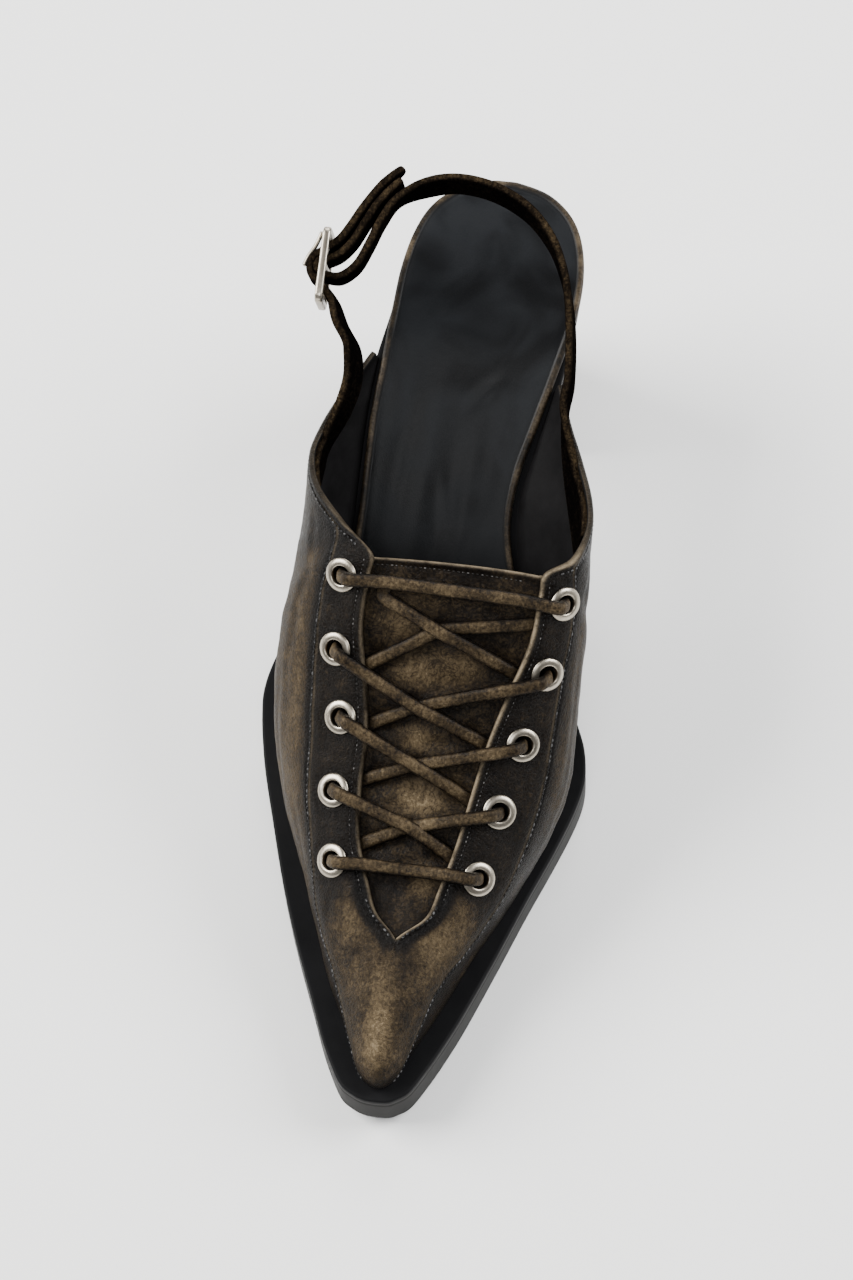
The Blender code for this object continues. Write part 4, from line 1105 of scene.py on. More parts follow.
UPPER_PATCHES = (
    # The toe's centre patch: rubbed leather and painted highlight on the toe's ridge.
    Patch(-2.0, 12.0, 3.4, 12.0, 0.30, 2.0),
    Patch(-1.0, 30.0, 6.0, 8.0, 0.05),
    Patch(11.0, 44.0, 5.0, 9.0, 0.26, -28.0),
    Patch(-13.0, 46.0, 4.0, 8.0, 0.22, 20.0),
    Patch(2.6, 34.5, 5.0, 5.0, -0.20),
    Patch(4.6, 20.0, 2.6, 4.5, -0.20),
    Patch(-7.2, 22.0, 2.4, 7.0, -0.12),
    Patch(-11.0, 38.0, 3.0, 4.0, -0.12),
    Patch(-1.2, 4.6, 5.0, 3.0, -0.22),
    Patch(17.0, 50.0, 4.0, 5.0, 0.10),
    # Painted sheen along the lateral quarter's outer curve.
    Patch(-43.0, 92.0, 6.0, 26.0, 0.14),
    Patch(-36.0, 110.0, 3.2, 30.0, 0.20),
    Patch(-32.0, 78.0, 3.0, 20.0, 0.16, 8.0),
    Patch(-35.0, 140.0, 7.0, 7.0, -0.16),
    Patch(37.0, 96.0, 4.0, 18.0, 0.16),
    Patch(40.0, 118.0, 3.0, 12.0, 0.12),
    Patch(-22.0, 120.0, 4.0, 5.0, 0.06),
)

UPPER_CREASES = (
    Crease(Side.LATERAL, ((7.6, 0.18), (9.2, 0.30), (10.8, 0.46)), 0.34, 1.7),
    Crease(Side.LATERAL, ((8.6, 0.12), (10.4, 0.20), (12.0, 0.36)), 0.30, 1.9),
    Crease(Side.LATERAL, ((10.0, 0.50), (11.6, 0.57), (13.0, 0.64)), 0.26, 1.3),
    Crease(Side.LATERAL, ((12.2, 0.30), (13.4, 0.40), (14.8, 0.52)), 0.32, 1.8),
    Crease(Side.LATERAL, ((13.0, 0.62), (13.8, 0.72), (14.6, 0.84)), 0.28, 1.2),
    Crease(Side.LATERAL, ((6.2, 0.24), (7.2, 0.34), (8.2, 0.44)), 0.22, 1.4),
    Crease(Side.LATERAL, ((5.0, 0.52), (5.6, 0.62), (6.0, 0.78)), 0.16, 1.0),
    Crease(Side.MEDIAL, ((7.4, 0.16), (9.0, 0.26), (10.6, 0.40)), 0.32, 1.7),
    Crease(Side.MEDIAL, ((8.8, 0.34), (10.2, 0.44), (11.8, 0.56)), 0.28, 1.5),
    Crease(Side.MEDIAL, ((11.0, 0.20), (12.6, 0.34), (14.0, 0.50)), 0.32, 1.8),
    Crease(Side.MEDIAL, ((13.2, 0.56), (14.0, 0.68), (14.8, 0.82)), 0.26, 1.2),
    Crease(Side.MEDIAL, ((5.2, 0.46), (5.8, 0.58), (6.2, 0.74)), 0.16, 1.0),
    Crease(Side.LATERAL, ((3.0, 0.46), (3.5, 0.62), (4.4, 0.76)), 0.14, 1.2),
    Crease(Side.MEDIAL, ((2.6, 0.50), (3.3, 0.66), (4.2, 0.80)), 0.14, 1.2),
)


@dataclass(frozen=True)
class UpperDetail:
    """Sizes of the upper's seams and edges, in millimetres."""

    rows: int = 206
    below: int = 34
    above: int = 50
    seam_depth: float = 0.5
    seam_width: float = 0.42
    edge_radius: float = 0.6
    bead: float = 0.14
    stitch_line: float = 2.3
    stitch_groove: float = 0.2
    seam_stitch: float = 0.8


class UpperHalf:
    """One side of the upper as a fine grid: outer and inner faces, seam and edge distances."""

    def __init__(self, last: Last, side: Side, detail: UpperDetail) -> None:
        self.last = last
        self.side = side
        self.detail = detail
        self.stations = np.linspace(0.0, last.end, detail.rows)
        seam = last.seam(side, self.stations)
        line = np.clip(seam, 0.05, 0.92)[:, None]
        low = np.linspace(0.0, 1.0, detail.below) ** 0.72
        high = np.linspace(0.0, 1.0, detail.above)
        high = 0.5 * high + 0.5 * ramp(0.0, 1.0, high)
        self.shares = np.concatenate([line * low, line + (1.0 - line) * high[1:]], axis=1)
        face = last.ribs(side, self.stations, self.shares)
        normals = last.normals(side, self.stations, self.shares)
        centre = self.stations <= last.sizes.slot_station
        face[0, :, 0] = TOE_RIBS[0][0]
        face[centre, -1, 0] = TOE_RIBS[0][0]
        normals[0] = self._in_plane(np.gradient(face[0], axis=0))
        normals[centre, -1] = self._in_plane(np.gradient(face[:, -1], axis=0))[centre]
        self.face = face
        self.normals = normals
        arc = arc_length(face)
        self.from_foot = arc
        self.from_seam = arc - arc[:, detail.below - 1: detail.below]
        self.to_edge = arc[:, -1:] - arc
        self.panel = np.clip((1.0 - seam) / 0.08, 0.0, 1.0)[:, None]
        self.open_edge = ramp(3.95, 4.15, self.stations)[:, None]
        self.outer, self.inner = self._relief()

    @staticmethod
    def _in_plane(tangents: FloatArray) -> FloatArray:
        flat = np.zeros(tangents.shape)
        flat[:, 1] = -tangents[:, 2]
        flat[:, 2] = tangents[:, 1]
        return unit(flat)

    def _relief(self) -> tuple[FloatArray, FloatArray]:
        d = self.detail
        sizes = self.last.sizes
        lift = sizes.panel_step * ramp(-0.15, 0.75, self.from_seam) * self.panel
        lift -= d.seam_depth * bell(self.from_seam, -0.35, d.seam_width) * self.panel
        lift += 0.12 * bell(self.from_seam, 0.95, 0.35) * self.panel
        lift += 0.22 * bell(self.from_seam, 3.4, 1.8) * self.panel
        edge = self.to_edge
        bead = d.bead * bell(edge, 0.95, 0.55) - d.stitch_groove * bell(edge, d.stitch_line, 0.45)
        lift += bead * self.open_edge
        inside = np.clip(d.edge_radius - edge, 0.0, d.edge_radius)
        drop = d.edge_radius - np.sqrt(np.maximum(d.edge_radius**2 - inside**2, 0.0))
        lift -= drop * self.open_edge
        for crease in UPPER_CREASES:
            if crease.side is self.side:
                calm = ramp(0.6, 3.0, edge) * ramp(0.3, 2.0, np.abs(self.from_seam))
                lift += crease.over(self.last, self.face) * calm
        calm = ramp(0.0, 8.0, edge + 20.0 * (1.0 - self.open_edge)) * ramp(0.0, 6.0, self.from_foot)
        lift += (0.20 * waves(self.face, 17.0, 1.0) + 0.09 * waves(self.face, 7.5, 4.0)) * calm
        for x, a in self.last.eyelets():
            if (x < 0.0) == (self.side is Side.LATERAL):
                z, _ = self.last.face(x, a)
                gap = np.linalg.norm(self.face - np.array([x, a, z]), axis=-1)
                lift = np.where(gap < 6.0, sizes.panel_step + (lift - sizes.panel_step) * ramp(4.6, 6.0, gap),
                                lift)
                lift -= 0.25 * bell(gap, 5.9, 0.8)
        tuck = 0.45 * np.exp(-((self.from_foot / 1.2) ** 2))
        outer = self.face + self.normals * (lift - tuck)[..., None]
        sink = sizes.wall - 0.5 * drop * self.open_edge
        inner = self.face - self.normals * sink[..., None]
        outer[:, 0, 2] = self.face[:, 0, 2]
        inner[:, 0, 2] = self.face[:, 0, 2]
        return outer, inner

    def paint(self) -> dict[str, FloatArray]:
        """Tone, shade and edge of the outer face."""
        lateral = self.side is Side.LATERAL
        stay = ramp(4.0, 6.0, self.stations)[:, None]
        panel = self.panel * (self.from_seam > -0.2)
        tone = np.where(panel > 0.5, 0.53 - 0.26 * stay, 0.40 if lateral else 0.30)
        for patch in UPPER_PATCHES:
            tone = tone + patch.over(self.face)
        collar = ramp(13.0, 15.0, self.stations)[:, None]
        tone = tone - 0.10 * collar
        # Darker along the seam: painted shade in its groove and a dark burnished border.
        seam = bell(self.from_seam, -0.3, 1.1) * 0.98 + bell(self.from_seam, -0.6, 4.2) * 0.5
        # Painted shade where the upper meets the sole; the next line darkens towards the slot and collar
        # edges.
        foot = np.exp(-((self.from_foot / 2.6) ** 2)) * 0.6
        edge = np.exp(-((self.to_edge / 4.6) ** 2)) * self.open_edge
        shade = np.clip(seam * self.panel + foot + 0.5 * edge, 0.0, 0.93)
        # Painted shade in a ring round each eyelet's flange.
        for x, a in self.last.eyelets():
            z, _ = self.last.face(x, a)
            gap = np.linalg.norm(self.face - np.array([x, a, z]), axis=-1)
            shade = np.maximum(shade, 0.5 * bell(gap, 5.2, 1.3))
        slot = ramp(3.95, 4.1, self.stations)[:, None] * (1.0 - collar)
        folded = np.exp(-((self.to_edge / (0.42 if lateral else 0.6)) ** 2))
        bare_and_highlight = folded * (slot * (0.4 if lateral else 0.9) + collar * 0.05)
        begun = ramp(0.5, 2.0, self.stations)[:, None]
        # Light line on the raised panel's edge beside the seam: painted highlight, partly rubbed.
        bare_and_highlight = bare_and_highlight + 0.14 * bell(self.from_seam, 1.5, 0.4) * self.panel * begun
        toe_slot = ramp(3.4, 4.0, self.stations) * (1.0 - ramp(5.6, 7.2, self.stations))
        near = np.exp(-(((self.to_edge - 1.6) / 2.9) ** 4))
        shade = np.clip(shade + 0.95 * near * toe_slot[:, None], 0.0, 0.96)
        return {"tone": tone, "shade": shade, "edge": np.clip(bare_and_highlight, 0.0, 1.0)}

    def line(self, distance: FloatArray, offset: float, start: float, stop: float,
             raise_by: float = 0.0) -> tuple[FloatArray, FloatArray]:
        """Line on the outer face at an offset from the seam or edge.

        Args:
            distance: Signed distance field that the offset is measured in.
            offset: Distance wanted.
            start: First station.
            stop: Last station.
            raise_by: Height over the face.

        Returns:
            Points and normals, one for each row between the stations.
        """
        points, normals = [], []
        for i in np.flatnonzero((self.stations >= start) & (self.stations <= stop)):
            order = np.argsort(distance[i])
            spot = [np.interp(offset, distance[i][order], self.outer[i][order, k]) for k in range(3)]
            up = unit(np.array([
                np.interp(offset, distance[i][order], self.normals[i][order, k]) for k in range(3)
            ]))
            points.append(np.array(spot) + up * raise_by)
            normals.append(up)
        return np.array(points), np.array(normals)


class Upper:
    """Hollow upper: quarters, raised centre panel, folded edges, seams and lining."""

    def __init__(self, last: Last, detail: UpperDetail) -> None:
        self.last = last
        self.halves = {side: UpperHalf(last, side, detail) for side in Side}

    def _open_cells(self, half: UpperHalf) -> FloatArray:
        """Cells of the grid that the eyelet holes take away."""
        corners = half.face
        centre = (corners[:-1, :-1] + corners[1:, :-1] + corners[1:, 1:] + corners[:-1, 1:]) / 4.0
        taken = np.zeros(centre.shape[:2], dtype=bool)
        for x, a in self.last.eyelets():
            z, normal = self.last.face(x, a)
            gap = centre - np.array([x, a, z])
            gap = gap - (gap @ normal)[..., None] * normal
            taken |= np.linalg.norm(gap, axis=-1) < self.last.sizes.eyelet_barrel + 0.25
        return taken

    def build(self, leather: bpy.types.Material, lining: bpy.types.Material) -> None:
        """Build the shell, in place of the CAD upper."""
        skin = Skin()
        for half in self.halves.values():
            rows, columns = half.face.shape[:2]
            outer = skin.add(half.outer, [], 0, **half.paint())
            rim = np.exp(-((half.to_edge / 1.0) ** 2)) * half.open_edge
            inner = skin.add(half.inner, [], 1, tone=0.16, shade=0.3, edge=0.12 * rim)
            index = np.arange(rows * columns).reshape(rows, columns)
            keep = ~self._open_cells(half)
            quads = np.stack([index[:-1, :-1], index[1:, :-1], index[1:, 1:], index[:-1, 1:]], axis=-1)
            skin.join(quads[keep] + outer, 0, 0)
            skin.join(quads[keep][:, ::-1] + inner, 0, 1)
            walls = []
            padded = np.pad(keep, 1, constant_values=True)
            for di, dj, first, second in ((-1, 0, 0, 3), (1, 0, 1, 2), (0, -1, 0, 1), (0, 1, 3, 2)):
                near = padded[1 + di: padded.shape[0] - 1 + di, 1 + dj: padded.shape[1] - 1 + dj]
                ends = quads[~keep & near]
                walls.append(np.stack([ends[:, first] + outer, ends[:, second] + outer,
                                       ends[:, second] + inner, ends[:, first] + inner], axis=1))
            skin.join(np.concatenate(walls), 0, 1)
            foot = np.stack([index[:-1, 0] + outer, index[:-1, 0] + inner,
                             index[1:, 0] + inner, index[1:, 0] + outer], axis=1)
            skin.join(foot, 0, 1)
            top = wall_faces(index[:, -1], outer, inner)
            slot = half.stations[:-1] >= self.last.sizes.slot_station - 1e-9
            skin.join(top[slot], 0, 0)
            skin.join(wall_faces(index[-1], outer, inner), 0, 0)
        install(skin.build("upper_shell", self.last, [leather, lining]), Piece.UPPER, "upper")


# Stitches


@dataclass(frozen=True)
class StitchSize:
    """Length, width, height and pitch of one stitch, in millimetres."""

    long: float = 1.05
    wide: float = 0.42
    high: float = 0.34
    pitch: float = 1.6


class Stitches:
    """Rows of small rounded stitches, joined into one mesh."""

    def __init__(self, size: StitchSize) -> None:
        self.size = size
        self.skin = Skin()
        around, along = 6, 5
        theta = np.linspace(0.0, math.pi, along)[:, None]
        phi = (np.arange(around) * 2.0 * math.pi / around)[None, :]
        ball = np.stack([
            np.broadcast_to(-np.cos(theta), (along, around)),
            np.sin(theta) * np.cos(phi), np.sin(theta) * np.sin(phi),
        ], axis=-1)
        self.ball = ball.reshape(-1, 3) * np.array([size.long, size.wide, size.high]) / 2.0
        self.quads = grid_faces(along, around, wrap=True)

    def row(self, points: FloatArray, normals: FloatArray) -> None:
        """Add stitches evenly along a line."""
        run = arc_length(points)
        count = max(int(run[-1] / self.size.pitch), 1)
        spots = (np.arange(count) + 0.5) * run[-1] / count
        centre = at_runs(spots, run, points)
        reach = 0.3
        along = unit(at_runs(spots + reach, run, points) - at_runs(spots - reach, run, points))
        up = unit(at_runs(spots, run, normals))
        up = unit(up - along * (up * along).sum(axis=1, keepdims=True))
        side = np.cross(up, along)
        turn = np.stack([along, side, up], axis=1)
        balls = centre[:, None] + np.einsum("vk,skx->svx", self.ball, turn)
        size = len(self.ball)
        faces = (self.quads[None] + (np.arange(count) * size)[:, None, None]).reshape(-1, 4)
        self.skin.add(balls, faces)

    def build(self, name: str, last: Last, thread: bpy.types.Material, slot: Piece) -> None:
        """Build the joined mesh."""
        install(self.skin.build(name, last, [thread]), slot)


# Tongue


TONGUE_PATCHES = (
    Patch(-8.0, 117.0, 5.0, 6.0, 0.28),
    Patch(-4.0, 105.0, 9.0, 5.0, 0.32),
    Patch(10.0, 108.0, 6.0, 5.0, 0.22),
    Patch(-6.0, 100.0, 5.0, 3.0, -0.28),
    Patch(0.0, 91.0, 8.0, 4.0, 0.24),
    Patch(2.0, 77.0, 8.0, 5.0, 0.34),
    Patch(6.0, 56.0, 3.0, 4.0, 0.34),
    Patch(-4.0, 54.0, 4.0, 6.0, -0.20),
    Patch(8.0, 126.0, 22.0, 4.0, -0.10),
)

# from x, from a, to x, to a, depth, width
TONGUE_CREASES = (
    (-12.0, 114.0, 8.0, 108.0, 0.30, 1.3),
    (-10.0, 103.0, 14.0, 105.0, 0.32, 1.5),
    (-12.0, 98.5, 6.0, 103.0, 0.22, 1.0),
    (-8.0, 89.0, 14.0, 91.5, 0.30, 1.4),
    (-10.0, 75.0, 12.0, 74.0, 0.26, 1.3),
    (-8.0, 80.0, 6.0, 77.5, 0.18, 1.0),
    (-6.0, 60.0, 8.0, 62.0, 0.22, 1.2),
    (4.0, 122.0, 24.0, 119.0, 0.22, 1.2),
)


class Tongue:
    """Tongue under the slot, its top edge bound and stitched."""

    def __init__(self, last: Last, rows: int = 150, columns: int = 64) -> None:
        self.last = last
        sizes = last.sizes
        end = float(sizes.throat_station)
        self.stations = np.linspace(3.3, end - 0.12, rows)
        line = np.array([self._row(station, columns) for station in self.stations])
        normals = unit(np.cross(np.gradient(line, axis=1), np.gradient(line, axis=0)))
        self.run = arc_length(line)
        self.to_top = arc_length(np.swapaxes(line, 0, 1)).T
        self.to_top = self.to_top[-1:] - self.to_top
        side = np.minimum(self.run, self.run[:, -1:] - self.run)
        lift = np.zeros(side.shape)
        for row in TONGUE_CREASES:
            lift += fold_relief(line, row, 0.4, 2.1, 1.1)
        lift += 0.14 * waves(line, 9.0, 2.0) + 0.2 * waves(line, 21.0, 5.0) - 0.16
        for lateral, medial in CROSSINGS:
            for _, _, mx, ma, tx, ta in (lateral, medial):
                gap, _ = to_segment(line, mx, ma, tx, ta)
                lift -= 0.4 * bell(gap, 0.0, 2.4)
                dx, da = unit(np.array([tx - mx, ta - ma])) * 7.0
                gap, _ = to_segment(line, tx, ta, tx + dx, ta + da)
                lift -= 1.0 * bell(gap, 0.0, 2.6)
        calm = ramp(0.0, 3.0, side) * ramp(0.5, 4.0, self.to_top)
        inside = np.clip(0.8 - self.to_top, 0.0, 0.8)
        drop = 0.8 - np.sqrt(np.maximum(0.64 - inside**2, 0.0))
        lift = np.minimum(lift, 0.12) * np.maximum(calm, lift < -0.5) - drop * 0.9
        lift += 0.2 * bell(self.to_top, 1.3, 0.8) - 0.2 * bell(self.to_top, 3.0, 0.5)
        base = sizes.wall + sizes.tongue_gap
        self.line = line
        self.normals = normals
        self.top = line + normals * (lift - base)[..., None]
        under = base + sizes.tongue_thick - 0.5 * drop
        self.bottom = line - normals * under[..., None]

    def _row(self, station: float, columns: int) -> FloatArray:
        start = 0.62
        left = self.last.ribs(Side.LATERAL, [station], np.linspace(start, 1.0, 14))[0]
        right = self.last.ribs(Side.MEDIAL, [station], np.linspace(1.0, start, 14))[0]
        bridge = np.zeros((0, 3))
        if station > self.last.sizes.slot_station + 0.05:
            bridge = self.last.over_slot(station, np.linspace(0.08, 0.92, 12))
        else:
            right = right[1:]
        line = np.concatenate([left, bridge, right])
        run = arc_length(line)
        spots = np.linspace(0.0, run[-1], columns)
        return at_runs(spots, run, line)

    def build(self, leather: bpy.types.Material) -> None:
        """Build the tongue, in place of its CAD node."""
        tone = np.full(self.run.shape, 0.46)
        for patch in TONGUE_PATCHES:
            tone = tone + patch.over(self.line)
        side = np.minimum(self.run, self.run[:, -1:] - self.run)
        # Painted shade on the tongue's sides under the slot's edges and along the laces lying on it; it is
        # also darker towards its top edge.
        shade = 0.6 * np.exp(-((side / 13.0) ** 4)) + 0.35 * np.exp(-((self.to_top / 6.0) ** 2))
        for lateral, medial in CROSSINGS:
            for fx, fa, mx, ma, tx, ta in (lateral, medial):
                gap, _ = to_segment(self.line, fx, fa, mx, ma)
                far, _ = to_segment(self.line, mx, ma, tx, ta)
                shade = shade + 0.3 * bell(np.minimum(gap, far), 0.0, 3.2)
        edge = 0.55 * np.exp(-((self.to_top / 0.8) ** 2))
        skin = Skin()
        rows, columns = self.line.shape[:2]
        top = skin.add(self.top, grid_faces(rows, columns), tone=tone,
                       shade=np.clip(shade, 0.0, 0.9), edge=edge)
        bottom = skin.add(self.bottom, grid_faces(rows, columns)[:, ::-1], tone=0.1, shade=0.5,
                          edge=0.4 * edge)
        index = np.arange(rows * columns).reshape(rows, columns)
        for border in (index[0], index[-1], index[:, 0], index[:, -1]):
            skin.join(wall_faces(border, top, bottom))
        install(skin.build("tongue_leather", self.last, [leather]), Piece.TONGUE, "tongue")

    def stitch_line(self, offset: float, first: float, last: float) -> tuple[FloatArray, FloatArray]:
        """Line below the top edge, between two shares across."""
        columns = self.line.shape[1]
        points, normals = [], []
        for j in range(int(first * columns), int(last * columns)):
            order = np.argsort(self.to_top[:, j])
            points.append([np.interp(offset, self.to_top[order, j], self.top[order, j, k]) for k in range(3)])
            normals.append(self.normals[order, j][int(np.searchsorted(self.to_top[order, j], offset))])
        return np.array(points), np.array(normals)


# Sole, insole, heel


class Slab:
    """Closed body over an outline, built from rings at given insets and heights.

    The outline's rows hold a, lateral x and medial x. Its two long sides make one closed loop,
    and the top and bottom are filled between them.
    """

    def __init__(self, outline, stations: FloatArray) -> None:
        self.rows = smooth(outline, stations)
        count = len(self.rows)
        lateral = self.rows[:, [1, 0]]
        medial = self.rows[:, [2, 0]]
        self.loop = np.concatenate([lateral, medial[::-1]])
        ahead = np.roll(self.loop, -1, axis=0) - np.roll(self.loop, 1, axis=0)
        ahead = unit(ahead + 1e-9)
        self.inward = np.stack([-ahead[:, 1], ahead[:, 0]], axis=1)
        middle = self.rows[:, 1:].mean(axis=1)
        probe = self.inward[count // 2] * np.array([middle[count // 2] - lateral[count // 2, 0], 0.0])
        if probe.sum() < 0.0:
            self.inward = -self.inward
        self.count = count

    def ring(self, inset: float) -> FloatArray:
        """Loop of (x, a) drawn in by an inset."""
        return self.loop + self.inward * inset

    def cap(self, ring: FloatArray, columns: int) -> FloatArray:
        """Points across the loop, from its lateral to its medial side."""
        share = np.linspace(0.0, 1.0, columns)
        left = ring[: self.count]
        right = ring[self.count:][::-1]
        return left[:, None] * (1.0 - share)[None, :, None] + right[:, None] * share[None, :, None]


class Outsole:
    """Rubber sole with softened edges, lighter sides and a fine line round them."""

    def __init__(self, last: Last) -> None:
        self.last = last

    def build(self, rubber: bpy.types.Material) -> None:
        """Build the sole, in place of its CAD node."""
        slab = Slab(SOLE_OUTLINE, np.linspace(0.0, len(SOLE_OUTLINE) - 1.0, 300))
        last = self.last
        radius = 0.7
        low_radius = 0.5
        groove, groove_share = 0.22, 0.77
        profile = [(radius + 1.6, 1.0, 0.0), (radius + 0.3, 1.0, 0.0)]
        for angle in np.linspace(90.0, 0.0, 5):
            turn = math.radians(angle)
            profile.append((radius * (1.0 - math.cos(turn)), 1.0, -radius * (1.0 - math.sin(turn))))
        for share in (0.86, 0.80, groove_share, 0.74, 0.68, 0.5, 0.32, 0.16):
            profile.append((groove if share == groove_share else 0.0, share, 0.0))
        for angle in np.linspace(0.0, 90.0, 4):
            turn = math.radians(angle)
            profile.append((low_radius * (1.0 - math.cos(turn)), 0.0, low_radius * (1.0 - math.sin(turn))))
        profile.append((1.2, 0.0, 0.0))
        rings, sides = [], []
        for inset, share, offset in profile:
            ring = slab.ring(inset)
            z = last.underside(ring[:, 1]) * (1.0 - share) + last.sole_top(ring[:, 1]) * share + offset
            rings.append(np.column_stack([ring, z]))
            sides.append(np.full(len(ring), 1.0 if 0.02 < share < 0.999 else 0.0))
        rings = np.array(rings)
        skin = Skin()
        faces = grid_faces(len(profile), rings.shape[1], wrap=True)
        skin.add(rings, faces, edge=np.array(sides))
        for ring, top in ((rings[0], True), (rings[-1], False)):
            grid = slab.cap(ring[:, :2], 14)
            height = last.sole_top(grid[..., 1]) if top else last.underside(grid[..., 1])
            skin.add(np.concatenate([grid, height[..., None]], axis=-1),
                     grid_faces(grid.shape[0], grid.shape[1]), edge=0.0)
        install(skin.build("rubber_outsole", last, [rubber]), Piece.RUBBER, "outsole")


# from x, from a, to x, to a, depth, width
INSOLE_FOLDS = (
    (-8.0, 208.0, -15.0, 150.0, 0.40, 3.4),
    (-3.0, 192.0, 9.0, 203.0, 0.26, 1.5),
    (4.0, 190.0, -3.0, 136.0, 0.42, 3.2),
    (11.0, 198.0, 6.0, 166.0, 0.26, 1.9),
    (-7.0, 180.0, -3.0, 158.0, 0.20, 1.3),
    (-15.0, 192.0, -19.0, 158.0, 0.22, 1.7),
    (12.0, 170.0, 4.0, 140.0, 0.22, 2.2),
)


class Insole:
    """Leather sock on its board, with a rolled binding round the edge."""

    def __init__(self, last: Last) -> None:
        self.last = last

    @staticmethod
    def _deep(a: FloatArray) -> FloatArray:
        """Painted shade of the sock deep inside the shoe, at distances a back from the toe."""
        return 0.85 * (1.0 - ramp(115.0, 190.0, a))

    def build(self, sock: bpy.types.Material) -> None:
        """Build the insole, in place of its CAD node."""
        last = self.last
        slab = Slab(INSOLE_OUTLINE, np.linspace(0.0, len(INSOLE_OUTLINE) - 1.0, 260))
        bottom = last.sizes.gap
        rings, edges, shades = [], [], []
        top_drop = last.sizes.sole_drop
        # Each ring: inset, rise, bronze binding (edge) and painted shade beside and under the rolled binding.
        for inset, rise, edge, shade in (
            (0.45, 0.0, 0.5, 0.6), (0.12, 0.3, 0.7, 0.3), (0.0, 0.9, 1.0, 0.0),
            (0.0, 1.5, 1.0, 0.0), (0.12, 1.95, 1.0, 0.0), (0.45, 2.25, 1.0, 0.0),
            (0.95, 2.35, 1.0, 0.0), (1.5, 2.3, 0.8, 0.0), (1.85, 2.15, 0.3, 0.5),
            (2.1, 1.98, 0.0, 0.8), (2.5, 2.02, 0.0, 0.35), (3.2, 2.12, 0.0, 0.05),
        ):
            ring = slab.ring(inset)
            z = last.sole_top(ring[:, 1]) + bottom + rise * (top_drop - bottom) / 2.35
            rings.append(np.column_stack([ring, z]))
            edges.append(np.full(len(ring), edge))
            shades.append(np.maximum(shade, self._deep(ring[:, 1]) * (inset > 2.0)))
        rings = np.array(rings)
        skin = Skin()
        skin.add(rings, grid_faces(len(rings), rings.shape[1], wrap=True),
                 edge=np.array(edges), shade=np.array(shades))
        ring = rings[-1]
        columns = 40
        grid = slab.cap(ring[:, :2], columns)
        share = np.linspace(-1.0, 1.0, columns)[None, :]
        seat = last.bed(grid[..., 1]) - 0.22
        dish = -0.5 * (1.0 - share**2) * ramp(4.0, 30.0, grid[..., 1])
        heel = -0.6 * np.exp(-((grid[..., 1] - 232.0) / 16.0) ** 2) * (1.0 - share**2)
        z = seat + dish + heel + 0.07 * waves(np.concatenate([grid, seat[..., None]], -1), 26.0, 3.0) * (
            1.0 - share**2)
        for row in INSOLE_FOLDS:
            z = z + fold_relief(grid, row, 0.5, 2.2, 1.2) * (1.0 - share**8)
        left, right = ring[: slab.count, 2], ring[slab.count:, 2][::-1]
        z[:, 0], z[:, -1] = left, right
        deep = self._deep(grid[..., 1])
        skin.add(np.concatenate([grid, z[..., None]], axis=-1), grid_faces(*z.shape), edge=0.0, shade=deep)
        low = slab.cap(rings[0][:, :2], 6)
        z = last.sole_top(low[..., 1]) + bottom
        skin.add(np.concatenate([low, z[..., None]], axis=-1), grid_faces(*z.shape), edge=0.0, shade=0.5)
        install(skin.build("insole_sock", last, [sock]), Piece.SOCK, "insole")


